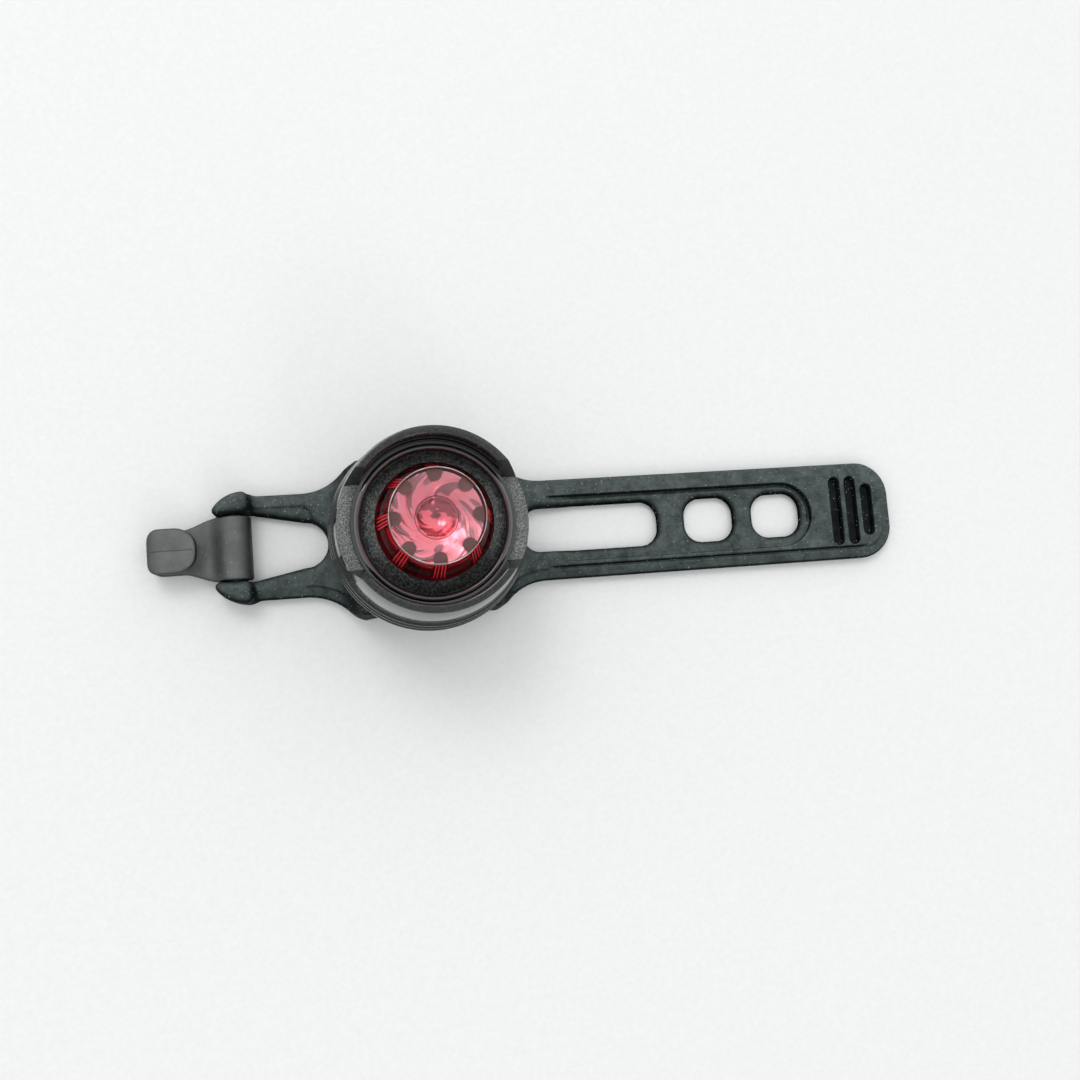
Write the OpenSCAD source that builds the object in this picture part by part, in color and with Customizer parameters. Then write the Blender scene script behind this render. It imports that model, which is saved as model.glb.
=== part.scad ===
// Bike rear light: a turned aluminium lamp with a red press lens, on a silicone strap with a hook.
// Millimetres. The origin is on the axis of the tube that the saddle sits on, under the lamp's own axis.
// +X runs along the strap to its tail, +Y along the tube and +Z out through the lens.

/* [Saddle pad] */
// Radius of the tube that the saddle sits on
saddle_r = 12.7; // [11.5:0.1:14]
// Half of the angle that the saddle covers on the tube
saddle_half_angle = 60; // [57:1:62]
// Width of the pad's foot beside the saddle
pad_foot_w = 1; // [0.8:0.1:2.5]
// Half of the pad's width along the tube
pad_half_y = 13.3; // [12:0.1:15]
// Chamfer round the pad's top edge
pad_chamfer = 1.2; // [0.4:0.1:1.6]
// How much the pad's long sides lean in from foot to top
pad_draft = 0.8; // [0:0.1:1.2]
// Rubber left between the saddle and the foot of the lamp
web_t = 0.9; // [0.7:0.1:2]
// Rubber lip over the foot of the lamp
lip_t = 1.2; // [0.8:0.1:2]
// Radius of the hollow where the pad runs down into an arm
shoulder_r = 6; // [3:0.1:6.4]

/* [Strap] */
// Thickness of the arms and the tail
strap_t = 2.4; // [2:0.1:2.8]
// Half of the strap's width
strap_half_w = 8.7; // [8:0.1:9.6]
// Radius of the flare from an arm to the pad
flare_r = 10; // [7:0.1:13]
// Room between the pad's arms and the parts that bend away from them
flex_gap = 0.1; // [0.05:0.01:0.2]

/* [Strap tail] */
// End of the tail, from the lamp's axis
tail_end_x = 84.7; // [82:0.1:95]
// Corner radius at the end of the tail
tail_corner_r = 6; // [3:0.1:8]
// Inner end of the long slot
slot_start_x = 16.8; // [15:0.1:18]
// Outer end of the long slot
slot_end_x = 40.6; // [36:0.1:43]
// Width of the long slot and of the holes
slot_w = 7.4; // [6:0.1:8.4]
// Corner radius of the slot and of the holes
slot_corner_r = 2.9; // [1:0.1:2.9]
// Start of the first hole
hole_start_x = 46; // [45:0.1:48]
// Length of a hole along the strap
hole_len = 8.6; // [6:0.1:9.5]
// Distance from one hole to the next
hole_pitch = 12.6; // [11.5:0.1:13.4]
// Number of holes
hole_count = 2; // [1:1:2]
// Depth of the sunk panel round the slot and the holes
panel_depth = 0.4; // [0.2:0.05:0.8]
// Rim of the sunk panel beside the slot
panel_margin = 1.9; // [1.2:0.1:2.4]
// Middle of the first grip groove
grip_start_x = 74.4; // [73.6:0.1:75.5]
// Distance from one grip groove to the next
grip_pitch = 3.05; // [2.6:0.05:3.2]
// Number of grip grooves
grip_count = 3; // [1:1:3]
// Width of a grip groove
grip_w = 1.7; // [1:0.1:2]
// Length of a grip groove
grip_len = 12.5; // [8:0.1:13]
// How much shorter the last grip groove is
grip_short = 3; // [0:0.1:5]
// Depth of a grip groove
grip_depth = 0.6; // [0.3:0.05:1.2]

/* [Strap loop] */
// Outer end of the loop, from the lamp's axis
loop_end_x = 35.8; // [35:0.1:38]
// Inner end of the opening in the loop
loop_open_x = 16.3; // [15:0.1:17]
// Radius of the inner end of the opening
loop_open_r = 3.7; // [3:0.1:4.2]
// Half width over the ears
ear_half_w = 9.2; // [8.9:0.1:10]
// Where the ears begin, from the lamp's axis
ear_start_x = 28.5; // [27.5:0.1:28.6]
// Rounding of an ear's outer corner
ear_corner_r = 6; // [4:0.1:6]
// Rubber over the bar in an ear
ear_wall = 1.1; // [0.8:0.05:1.3]
// Rounding of an ear's upper edges, seen from the side
ear_round = 1.5; // [0.5:0.1:2]
// Place of the bar, from the lamp's axis
bar_x = 31.1; // [31:0.1:31.6]
// Diameter of the bar
bar_d = 3.2; // [2.6:0.1:3.4]

/* [Hook] */
// Width of the hook at its eye
hook_eye_w = 10.5; // [9:0.1:11.5]
// Width of the hook's tongue
hook_tongue_w = 7.3; // [5:0.1:8.5]
// Thickness of the hook
hook_t = 1.5; // [1.2:0.05:1.7]
// Wall of the eye round the bar
hook_eye_wall = 1.05; // [0.9:0.05:1.1]
// Clearance of the eye on the bar, on the radius
eye_clear = 0.05; // [0.02:0.01:0.1]
// Room between the hook and each ear
hook_side_gap = 0.15; // [0.1:0.05:0.3]
// Distance from the bar to the middle of the curl
curl_run = 11; // [10:0.1:13]
// Radius of the curl to the middle of its thickness
curl_r = 2.2; // [2:0.05:2.6]
// Length of the tongue from the middle of the curl to its tip
tongue_len = 4.6; // [4:0.1:5.2]

/* [Lamp body] */
// Radius of the lamp at the base
base_r = 16; // [15.6:0.1:18]
// Radius of the lamp at the rim
rim_r = 13.82; // [13.7:0.01:14.6]
// Height of the lamp's body from base to rim
lamp_h = 18.5; // [18:0.1:20]
// Height of the base cap's flange
flange_h = 2.2; // [1.8:0.1:2.6]
// Gap of the parting line between base cap and housing
parting_gap = 0.15; // [0.05:0.01:0.3]
// Radius of the threaded spigot on the base cap
spigot_r = 13.2; // [12.9:0.05:13.3]
// Height of the spigot above the flange
spigot_h = 5; // [4:0.1:5.4]
// Clearance of the housing on the spigot, on the radius
thread_clear = 0.05; // [0.02:0.01:0.1]
// Radius of the battery well
well_r = 11.4; // [11.2:0.05:11.8]
// Thickness of the base cap's floor
floor_t = 1.2; // [0.8:0.05:1.4]
// Radius of the foot disc held in the pad
foot_r = 8.5; // [7:0.1:9]
// Thickness of the foot disc
foot_t = 1; // [0.8:0.05:1.5]
// Radius of the neck between foot disc and base cap
foot_neck_r = 5; // [3:0.1:6.5]
// Clearance of the foot in the pad, on the radius
foot_clear = 0.05; // [0.02:0.01:0.2]
// Thickness of the seal ring
seal_d = 1; // [0.8:0.05:1.1]
// Room round the seal ring
seal_clear = 0.05; // [0.03:0.01:0.1]
// Heights of the ring grooves above the base, first one
groove_z = 4.6; // [4:0.1:5]
// Distance from one ring groove to the next
groove_pitch = 2.2; // [1.6:0.1:2.4]
// Number of ring grooves in the housing
groove_count = 2; // [1:1:2]
// Width of a ring groove
groove_w = 0.5; // [0.3:0.05:0.8]
// Depth of a ring groove
groove_depth = 0.4; // [0.2:0.05:0.6]
// Floor of the milled notches above the base
notch_z = 13; // [12.8:0.1:13.4]
// Width of a notch at its floor
notch_floor_w = 12.7; // [9:0.1:14]
// Width of a notch at the rim
notch_top_w = 16.2; // [15:0.1:18]
// Bore of the housing at the rim
rim_bore_r = 12.45; // [12.3:0.01:12.6]
// Chamfer inside the rim
rim_chamfer = 0.3; // [0.1:0.05:0.5]
// Thickness of the ledge inside the housing
ledge_t = 0.9; // [0.7:0.05:1]
// Radius of the opening in the ledge
ledge_bore_r = 10.6; // [10.4:0.05:10.7]

/* [Press button] */
// How far the button goes in
press_travel = 0.5; // [0.3:0.05:0.6]
// Clearance of pieces that lie close to each other
near_gap = 0.05; // [0.03:0.01:0.08]
// Inner radius of the bead ring
bead_inner_r = 10.9; // [10.85:0.01:11]
// Radius of the bead's own rounding
bead_r = 0.55; // [0.4:0.01:0.6]
// Wall of the bead ring's skirt
skirt_t = 0.55; // [0.4:0.05:0.6]
// Running gap round the bezel
bezel_gap = 0.2; // [0.15:0.01:0.3]
// Thickness of the bezel's flange
bezel_flange_t = 0.45; // [0.3:0.05:0.5]
// Height of the soft return ring when the button is pressed in
return_low_h = 0.4; // [0.2:0.05:0.5]
// Height of the bezel's side wall above its flange
bezel_side_h = 0.35; // [0.2:0.05:0.5]
// Height of the bezel's slope
bezel_rise = 1.9; // [1.4:0.1:2.2]
// Radius of the lens where it leaves the bezel
lens_r = 8.8; // [8.4:0.05:9]
// Radius of the lens at its top edge
lens_top_r = 7.03; // [6.4:0.01:7.4]
// Height of the lens above the rim
lens_proud = 3.5; // [2.5:0.1:4.5]
// Bevel round the top of the lens
lens_bevel = 0.2; // [0.1:0.05:0.4]
// Clearance of the lens in the bezel, on the radius
lens_clear = 0.08; // [0.05:0.01:0.12]
// Width of the lens's flange beyond its wall
lens_flange_w = 0.8; // [0.5:0.05:0.85]
// Thickness of the lens's flange
lens_flange_t = 1.25; // [1:0.05:1.3]
// Number of pockets in the lens
pocket_count = 8; // [4:1:8]
// Width of a pocket
pocket_w = 2; // [1.2:0.1:2.4]
// Radius at the inner tip of a pocket
pocket_tip_r = 5.25; // [5:0.05:5.6]
// Radius at the outer wall of a pocket
pocket_out_r = 7.4; // [6.9:0.05:7.6]
// Plastic left over a pocket
pocket_roof = 2.6; // [2:0.1:5]
// Radius of the hollow over the diode
hollow_r = 3.5; // [3.2:0.05:3.8]
// Plastic left over the diode's hollow
hollow_roof = 3.7; // [2.5:0.1:3.9]

/* [Inside] */
// Radius of the circuit board
board_r = 11.9; // [11.6:0.05:12]
// Thickness of the circuit board
board_t = 1; // [0.8:0.05:1.2]
// Clearance of the circuit board in the housing, on the radius
board_clear = 0.1; // [0.05:0.01:0.15]
// Radius of a coin cell
cell_r = 10; // [9.5:0.05:10]
// Thickness of a coin cell
cell_t = 3.2; // [2.5:0.05:3.2]
// Height of the smaller cap under a coin cell
cell_cap_h = 0.4; // [0.3:0.05:0.6]
// Radius of the smaller cap under a coin cell
cell_cap_r = 8.9; // [8.2:0.05:9]
// Clearance of a cell in its holder, on the radius
cell_clear = 0.15; // [0.1:0.01:0.2]
// Clearance of the holder in the well, on the radius
holder_clear = 0.1; // [0.05:0.01:0.15]
// Width of the finger notches in the holder
finger_w = 8; // [5:0.1:10]
// Thickness of the contact leaves
leaf_t = 0.2; // [0.15:0.01:0.25]
// Width of the contact leaves
leaf_w = 3; // [2:0.1:4]
// Reach of a contact leaf to each side
leaf_reach = 3.6; // [3:0.1:5]
// Height of the lower contact leaf
lower_leaf_h = 1.15; // [1:0.05:1.3]
// Height of the upper contact leaf
upper_leaf_h = 0.85; // [0.7:0.05:1]
// Side of the square switch
switch_w = 4.5; // [4:0.1:4.8]
// Height of the switch
switch_h = 0.95; // [0.85:0.05:1]
// Floor of the switch under its plunger
switch_floor = 0.2; // [0.1:0.05:0.25]
// Distance of switch and chip from the lamp's axis
parts_r = 7; // [6.8:0.1:7.1]
// Radius of the switch's plunger
plunger_r = 1.1; // [0.8:0.05:1.2]
// Clearance of the plunger in the switch, on the radius
plunger_clear = 0.05; // [0.03:0.01:0.1]
// Length of the control chip
chip_len = 4.9; // [4:0.1:5]
// Width of the control chip
chip_w = 3.9; // [3:0.1:4]
// Height of the control chip
chip_h = 0.9; // [0.7:0.05:1]
// Length of a chip resistor
resistor_len = 2; // [1.6:0.1:2.2]
// Width of a chip resistor
resistor_w = 1.25; // [0.8:0.05:1.3]
// Height of a chip resistor
resistor_h = 0.5; // [0.4:0.05:0.6]
// Radius of the diode's dome
diode_r = 2.5; // [2.2:0.05:2.6]
// Width of the diode's collar beyond its dome
diode_collar_w = 0.4; // [0.2:0.05:0.5]
// Height of the diode's collar
diode_collar_h = 1; // [0.8:0.05:1.1]
// Height of the diode's straight wall above the collar
diode_wall_h = 2.5; // [1.5:0.1:2.6]
// Radius of the metal cup in the diode
cup_r = 0.95; // [0.7:0.05:1]
// Height of the metal cup in the diode
cup_h = 0.6; // [0.5:0.05:0.8]
// Height of the post under the cup
cup_post_h = 1.7; // [1.4:0.1:1.8]

/* [Hidden] */
$fn = 96;
// Room by which a cutting shape passes the face that it cuts
over = 1;

// Strap levels: the plane it lies on, the top of its arms and the pad's own levels
under_z = saddle_r * cos(saddle_half_angle);
arm_top_z = under_z + strap_t;
foot_z = saddle_r + web_t;
pad_top_z = foot_z + foot_t + lip_t;
pad_half_x = saddle_r * sin(saddle_half_angle) + pad_foot_w;
// The flare leaves the arm where its arc runs level, and the strap bends there
flare_side = flare_r - (pad_half_y - strap_half_w);
flex_x = pad_half_x + sqrt(flare_r * flare_r - flare_side * flare_side);

// Loop, bar and hook
loop_open_cx = loop_open_x + loop_open_r;
eye_r = bar_d / 2 + eye_clear + hook_eye_wall;
bar_z = under_z + eye_r + near_gap;
ear_in_y = hook_eye_w / 2 + hook_side_gap;
ear_top_z = bar_z + bar_d / 2 + ear_wall;
curl_z = under_z + hook_t / 2 + curl_r;
tongue_z = curl_z + curl_r;

// Lamp levels above the base's lower face, which stands on the pad
lamp_z = pad_top_z;
house_z = flange_h + parting_gap;
spigot_top = flange_h + spigot_h;
seal_pocket_r = spigot_r + 3 * seal_clear + seal_d + 2 * seal_clear;
seal_ring_r = spigot_r + 3 * seal_clear + seal_d / 2;
seal_top = flange_h + 2 * seal_clear + seal_d;
lower_bore_r = spigot_r + thread_clear;

// Cells stand on the holder's shelf, with the lower leaf under them
cell_z = floor_t + lower_leaf_h + near_gap;
cells_top = cell_z + 2 * cell_t;
holder_r = well_r - holder_clear;
holder_in_r = cell_r + cell_clear;
shelf_r = cell_cap_r + cell_clear;
shelf_z = cell_z + cell_cap_h - near_gap;

// The board lies against the ledge, over the upper leaf
board_z = cells_top + near_gap + upper_leaf_h;
board_top = board_z + board_t;
ledge_top = board_top + ledge_t;

// The button's flange hangs under the bead ring's lip
bezel_flange_z = ledge_top + return_low_h + press_travel;
lip_z = bezel_flange_z + bezel_flange_t + near_gap;
ring_out_r = rim_bore_r - near_gap;
skirt_in_r = ring_out_r - skirt_t;
bead_z = lip_z + bead_r;
bezel_r = bead_inner_r - bezel_gap;
bezel_flange_r = skirt_in_r - bezel_gap + near_gap;
bezel_side_z = lip_z + bezel_side_h;
bezel_in_r = lens_r + lens_clear;
bezel_top = bezel_side_z + bezel_rise;
lens_z = bezel_flange_z + 2 * near_gap;
lens_flange_z = lens_z + lens_flange_t;
lens_flange_r = lens_r + lens_flange_w;
lens_top = lamp_h + lens_proud;
switch_top = board_top + switch_h;
plunger_top = lens_z - near_gap;
plunger_z = board_top + switch_floor + near_gap + press_travel;
switch_angle = 180 / pocket_count;
diode_wall_top = board_top + diode_collar_h + diode_wall_h;

// Radius of the lamp's outside at a height above its base
function body_r(z) = base_r - (base_r - rim_r) * z / lamp_h;

// Shared outlines

module stadium(w, len) {
  square([w, len - w], center = true);
  for (y = [-1, 1])
    translate([0, y * (len - w) / 2]) circle(d = w);
}

module rounded_rect(w, h, r) {
  square([w - 2 * r, h], center = true);
  square([w, h - 2 * r], center = true);
  for (x = [-1, 1], y = [-1, 1])
    translate([x * (w / 2 - r), y * (h / 2 - r)]) circle(r);
}

// Rounded box of the plan between two places along the strap
module plan_window(x0, x1, w, r) {
  translate([(x0 + x1) / 2, 0]) rounded_rect(x1 - x0, w, r);
}

// Side profile in X and Z, drawn flat and stood up across the strap
module across(width) {
  rotate([90, 0, 0]) linear_extrude(width, center = true) children();
}

// End profile in Y and Z, drawn flat and stood up along the strap
module along(length) {
  rotate([90, 0, 90]) linear_extrude(length, center = true) children();
}

// Plan outline, raised from the plane under the strap to well over it
module upright(z0, z1) {
  translate([0, 0, z0]) linear_extrude(z1 - z0) children();
}

module in_lamp() {
  translate([0, 0, lamp_z]) children();
}

module turned(points) {
  rotate_extrude() polygon(points);
}

// Strap

module slot_plan() {
  plan_window(slot_start_x, slot_end_x, slot_w, slot_corner_r);
}

module loop_opening_plan() {
  translate([-loop_open_cx, 0]) circle(loop_open_r);
  polygon([
    [-loop_open_cx, loop_open_r],
    [-loop_open_cx, -loop_open_r],
    [-ear_start_x, -ear_in_y],
    [-loop_end_x - over, -ear_in_y],
    [-loop_end_x - over, ear_in_y],
    [-ear_start_x, ear_in_y]
  ]);
}

// The pad and its arms: one rectangle with the hollow of a flare cut from each corner
module pad_plan() {
  difference() {
    square([2 * flex_x, 2 * pad_half_y], center = true);
    for (x = [-1, 1], y = [-1, 1])
      translate([x * flex_x, y * (strap_half_w + flare_r)]) circle(flare_r);
  }
}

module pad_profile() {
  polygon([
    [-pad_half_x, under_z],
    [pad_half_x, under_z],
    [pad_half_x, pad_top_z - pad_chamfer],
    [pad_half_x - pad_chamfer, pad_top_z],
    [pad_chamfer - pad_half_x, pad_top_z],
    [-pad_half_x, pad_top_z - pad_chamfer]
  ]);
  translate([0, under_z + strap_t / 2]) square([2 * flex_x, strap_t], center = true);
  for (x = [0, 1])
    mirror([x, 0]) difference() {
      translate([pad_half_x, under_z]) square([shoulder_r, strap_t + shoulder_r]);
      translate([pad_half_x + shoulder_r, arm_top_z + shoulder_r]) circle(shoulder_r);
    }
}

// End view of the pad in Y and Z, with leaning sides and chamfered top edges
module pad_end_profile() {
  top_y = pad_half_y - pad_draft;
  polygon([
    [-pad_half_y, under_z],
    [pad_half_y, under_z],
    [top_y, pad_top_z - pad_chamfer],
    [top_y - pad_chamfer, pad_top_z],
    [pad_chamfer - top_y, pad_top_z],
    [-top_y, pad_top_z - pad_chamfer]
  ]);
}

module strap_pad() {
  color([0.07, 0.07, 0.075])
    difference() {
      intersection() {
        upright(under_z, pad_top_z) pad_plan();
        across(4 * pad_half_y) pad_profile();
        along(4 * flex_x) pad_end_profile();
      }
      rotate([90, 0, 0]) cylinder(h = 4 * pad_half_y, r = saddle_r, center = true);
      translate([0, 0, foot_z]) cylinder(h = foot_t, r = foot_r + foot_clear);
      translate([0, 0, foot_z]) cylinder(h = foot_t + lip_t + over, r = foot_neck_r + foot_clear);
      upright(under_z - over, pad_top_z + over) slot_plan();
      upright(under_z - over, pad_top_z + over) loop_opening_plan();
    }
}

module tail_plan() {
  start_x = flex_x + flex_gap;
  r = tail_corner_r;
  difference() {
    union() {
      translate([start_x, -strap_half_w]) square([tail_end_x - r - start_x, 2 * strap_half_w]);
      translate([tail_end_x - r - over, r - strap_half_w]) square([r + over, 2 * (strap_half_w - r)]);
      for (y = [-1, 1])
        translate([tail_end_x - r, y * (strap_half_w - r)]) circle(r);
    }
    slot_plan();
    for (i = [0 : hole_count - 1]) {
      x = hole_start_x + i * hole_pitch;
      plan_window(x, x + hole_len, slot_w, slot_corner_r);
    }
  }
}

// Sunk panel round the slot and the holes, with a round outer end
module panel_plan() {
  half = slot_w / 2 + panel_margin;
  last_x = hole_start_x + (hole_count - 1) * hole_pitch + hole_len + panel_margin;
  translate([flex_x + half / 4, -half]) square([last_x - half - flex_x - half / 4, 2 * half]);
  translate([last_x - half, 0]) circle(half);
}

module grip_plan() {
  for (i = [0 : grip_count - 1]) {
    len = i == grip_count - 1 ? grip_len - grip_short : grip_len;
    translate([grip_start_x + i * grip_pitch, 0]) stadium(grip_w, len);
  }
}

module strap_tail() {
  color([0.07, 0.07, 0.075])
    difference() {
      upright(under_z, arm_top_z) tail_plan();
      upright(arm_top_z - panel_depth, arm_top_z + over) panel_plan();
      upright(arm_top_z - grip_depth, arm_top_z + over) grip_plan();
    }
}

module ear_plan() {
  corner_x = loop_end_x - ear_corner_r;
  intersection() {
    translate([-loop_end_x, ear_in_y]) square([loop_end_x - ear_start_x, ear_half_w - ear_in_y]);
    union() {
      translate([-corner_x, ear_half_w - ear_corner_r]) circle(ear_corner_r);
      translate([-corner_x, 0]) square([corner_x, ear_half_w]);
    }
  }
}

// Side view of an ear: flat below, with both upper edges rounded
module ear_profile() {
  ear_h = ear_top_z - under_z;
  ear_len = loop_end_x - ear_start_x;
  translate([-loop_end_x, under_z]) square([ear_len, ear_h - ear_round]);
  translate([-(loop_end_x + ear_start_x) / 2, under_z + ear_h / 2]) rounded_rect(ear_len, ear_h, ear_round);
}

module strap_loop() {
  arm_start = flex_x + flex_gap;
  color([0.07, 0.07, 0.075]) {
    difference() {
      upright(under_z, arm_top_z)
        translate([-ear_start_x - over, -strap_half_w])
          square([ear_start_x + over - arm_start, 2 * strap_half_w]);
      upright(under_z - over, arm_top_z + over) loop_opening_plan();
    }
    for (y = [0, 1])
      mirror([0, y, 0]) intersection() {
        upright(under_z, ear_top_z) ear_plan();
        across(4 * ear_half_w) ear_profile();
      }
    translate([-bar_x, 0, bar_z])
      rotate([90, 0, 0]) cylinder(h = 2 * ear_in_y + over, d = bar_d, center = true);
  }
}

// Hook: its side profile is drawn from the bar, with X towards the curl

module hook_strip_profile() {
  slope_top = curl_z - curl_r + hook_t / 2 - bar_z;
  difference() {
    union() {
      circle(eye_r);
      polygon([
        [0, -hook_t / 2],
        [0, hook_t / 2],
        [curl_run, slope_top],
        [curl_run, slope_top - hook_t]
      ]);
    }
    circle(bar_d / 2 + eye_clear);
  }
  translate([curl_run, curl_z - bar_z])
    difference() {
      circle(curl_r + hook_t / 2);
      circle(curl_r - hook_t / 2);
      translate([-2 * curl_r - hook_t, -2 * curl_r]) square([2 * curl_r + hook_t, 4 * curl_r]);
    }
}

module hook_tongue_profile() {
  translate([curl_run - tongue_len, tongue_z - bar_z - hook_t / 2]) square([tongue_len, hook_t]);
}

module hook_strip_plan() {
  far = curl_run + curl_r + hook_t;
  near = -eye_r - over;
  polygon([
    [near, -hook_eye_w / 2],
    [eye_r, -hook_eye_w / 2],
    [curl_run - tongue_len / 2, -hook_tongue_w / 2],
    [far, -hook_tongue_w / 2],
    [far, hook_tongue_w / 2],
    [curl_run - tongue_len / 2, hook_tongue_w / 2],
    [eye_r, hook_eye_w / 2],
    [near, hook_eye_w / 2]
  ]);
}

module hook_tongue_plan() {
  tip_r = hook_tongue_w / 2;
  translate([curl_run - tongue_len + tip_r, 0]) circle(tip_r);
  translate([curl_run - tongue_len + tip_r, -tip_r]) square([tongue_len, 2 * tip_r]);
}

module hook() {
  tall = 4 * (curl_r + hook_t);
  color([0.22, 0.22, 0.23])
    translate([-bar_x, 0, bar_z]) mirror([1, 0, 0]) {
      intersection() {
        across(hook_eye_w) hook_strip_profile();
        upright(-tall, tall) hook_strip_plan();
      }
      intersection() {
        across(hook_eye_w) hook_tongue_profile();
        upright(-tall, tall) hook_tongue_plan();
      }
    }
}

// Lamp

module base_cap() {
  color([0.05, 0.05, 0.055]) in_lamp()
    turned([
      [0, -lip_t - foot_t],
      [foot_r, -lip_t - foot_t],
      [foot_r, -lip_t],
      [foot_neck_r, -lip_t],
      [foot_neck_r, 0],
      [base_r, 0],
      [body_r(flange_h), flange_h],
      [spigot_r, flange_h],
      [spigot_r, spigot_top],
      [well_r, spigot_top],
      [well_r, floor_t],
      [0, floor_t]
    ]);
}

module seal_ring() {
  color([0.16, 0.05, 0.05]) in_lamp()
    rotate_extrude()
      translate([seal_ring_r, flange_h + seal_clear + seal_d / 2]) circle(d = seal_d);
}

module notch_cut() {
  rise = lamp_h - notch_z;
  past = rise + over;
  half_floor = notch_floor_w / 2;
  half_past = half_floor + (notch_top_w - notch_floor_w) / 2 * past / rise;
  translate([0, 0, notch_z]) along(4 * base_r)
    polygon([[-half_floor, 0], [half_floor, 0], [half_past, past], [-half_past, past]]);
}

module housing() {
  color([0.05, 0.05, 0.055]) in_lamp()
    difference() {
      turned([
        [seal_pocket_r, house_z],
        [body_r(house_z), house_z],
        [rim_r, lamp_h],
        [rim_bore_r + rim_chamfer, lamp_h],
        [rim_bore_r, lamp_h - rim_chamfer],
        [rim_bore_r, ledge_top],
        [ledge_bore_r, ledge_top],
        [ledge_bore_r, board_top],
        [board_r + board_clear, board_top],
        [board_r + board_clear, board_z],
        [lower_bore_r, board_z],
        [lower_bore_r, seal_top],
        [seal_pocket_r, seal_top]
      ]);
      for (i = [0 : groove_count - 1]) {
        z = groove_z + i * groove_pitch;
        rotate_extrude()
          translate([body_r(z) - groove_depth, z - groove_w / 2]) square([groove_depth + over, groove_w]);
      }
      notch_cut();
    }
}

module retaining_ring() {
  color([0.03, 0.03, 0.035]) in_lamp()
    rotate_extrude() {
      translate([skirt_in_r, ledge_top]) square([skirt_t, bead_z - ledge_top]);
      translate([bead_inner_r, lip_z]) square([ring_out_r - bead_inner_r, bead_z - lip_z]);
      translate([bead_inner_r + bead_r, bead_z]) circle(bead_r);
    }
}

module return_ring() {
  color([0.4, 0.4, 0.42]) in_lamp()
    turned([
      [ledge_bore_r + near_gap, ledge_top],
      [bezel_flange_r, ledge_top],
      [bezel_flange_r, bezel_flange_z - near_gap],
      [ledge_bore_r + near_gap, bezel_flange_z - near_gap]
    ]);
}

module button_bezel() {
  seat_r = lens_flange_r + lens_clear;
  color([0.06, 0.06, 0.065]) in_lamp()
    turned([
      [seat_r, bezel_flange_z],
      [bezel_flange_r, bezel_flange_z],
      [bezel_flange_r, bezel_flange_z + bezel_flange_t],
      [bezel_r, bezel_flange_z + bezel_flange_t],
      [bezel_r, bezel_side_z],
      [bezel_in_r, bezel_top],
      [bezel_in_r, lens_flange_z + near_gap],
      [seat_r, lens_flange_z + near_gap]
    ]);
}

module lens_pocket() {
  tip_x = pocket_tip_r + pocket_w / 2;
  pocket_h = lens_top - pocket_roof - lens_z;
  translate([0, 0, lens_z - over]) {
    translate([tip_x, 0, 0]) cylinder(h = pocket_h + over, d = pocket_w);
    translate([tip_x, -pocket_w / 2, 0]) cube([pocket_out_r - tip_x, pocket_w, pocket_h + over]);
  }
}

module lens() {
  color([0.75, 0.03, 0.08]) in_lamp()
    difference() {
      turned([
        [0, lens_z],
        [lens_flange_r, lens_z],
        [lens_flange_r, lens_flange_z],
        [lens_r, lens_flange_z],
        [lens_r, bezel_top],
        [lens_top_r, lens_top - lens_bevel],
        [lens_top_r - lens_bevel, lens_top],
        [0, lens_top]
      ]);
      translate([0, 0, lens_z - over]) cylinder(h = lens_top - hollow_roof - lens_z + over, r = hollow_r);
      for (i = [0 : pocket_count - 1])
        rotate([0, 0, i * 360 / pocket_count]) lens_pocket();
    }
}

module led_dome() {
  frame_h = cup_post_h + cup_h + near_gap;
  color([0.95, 0.75, 0.75]) in_lamp()
    difference() {
      union() {
        translate([0, 0, board_top]) cylinder(h = diode_collar_h, r = diode_r + diode_collar_w);
        translate([0, 0, board_top]) cylinder(h = diode_wall_top - board_top, r = diode_r);
        translate([0, 0, diode_wall_top]) sphere(diode_r);
      }
      translate([0, 0, board_top - over]) cylinder(h = frame_h + over, r = cup_r + near_gap);
    }
}

module led_frame() {
  post_r = cup_r / 2;
  color([0.8, 0.8, 0.78]) in_lamp()
    difference() {
      union() {
        translate([0, 0, board_top]) cylinder(h = cup_post_h, r = post_r);
        translate([0, 0, board_top + cup_post_h]) cylinder(h = cup_h, r = cup_r);
      }
      translate([0, 0, board_top + cup_post_h + cup_h / 2])
        cylinder(h = cup_h, r1 = post_r, r2 = post_r + cup_h / 2);
    }
}

module circuit_board() {
  color([0.03, 0.16, 0.08]) in_lamp()
    translate([0, 0, board_z]) cylinder(h = board_t, r = board_r);
}

module on_board(angle) {
  in_lamp() rotate([0, 0, angle]) translate([parts_r, 0, board_top]) children();
}

module switch_body() {
  color([0.1, 0.1, 0.1]) on_board(switch_angle)
    difference() {
      translate([-switch_w / 2, -switch_w / 2, 0]) cube([switch_w, switch_w, switch_h]);
      translate([0, 0, switch_floor]) cylinder(h = switch_h, r = plunger_r + plunger_clear);
    }
}

module switch_plunger() {
  color([0.8, 0.78, 0.7]) on_board(switch_angle)
    translate([0, 0, plunger_z - board_top]) cylinder(h = plunger_top - plunger_z, r = plunger_r);
}

module control_chip() {
  color([0.06, 0.06, 0.06]) on_board(switch_angle + 180)
    translate([-chip_w / 2, -chip_len / 2, 0]) cube([chip_w, chip_len, chip_h]);
}

module resistors() {
  color([0.12, 0.12, 0.14])
    for (side = [90, -90])
      on_board(switch_angle + side)
        translate([-resistor_w / 2, -resistor_len / 2, 0]) cube([resistor_w, resistor_len, resistor_h]);
}

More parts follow.
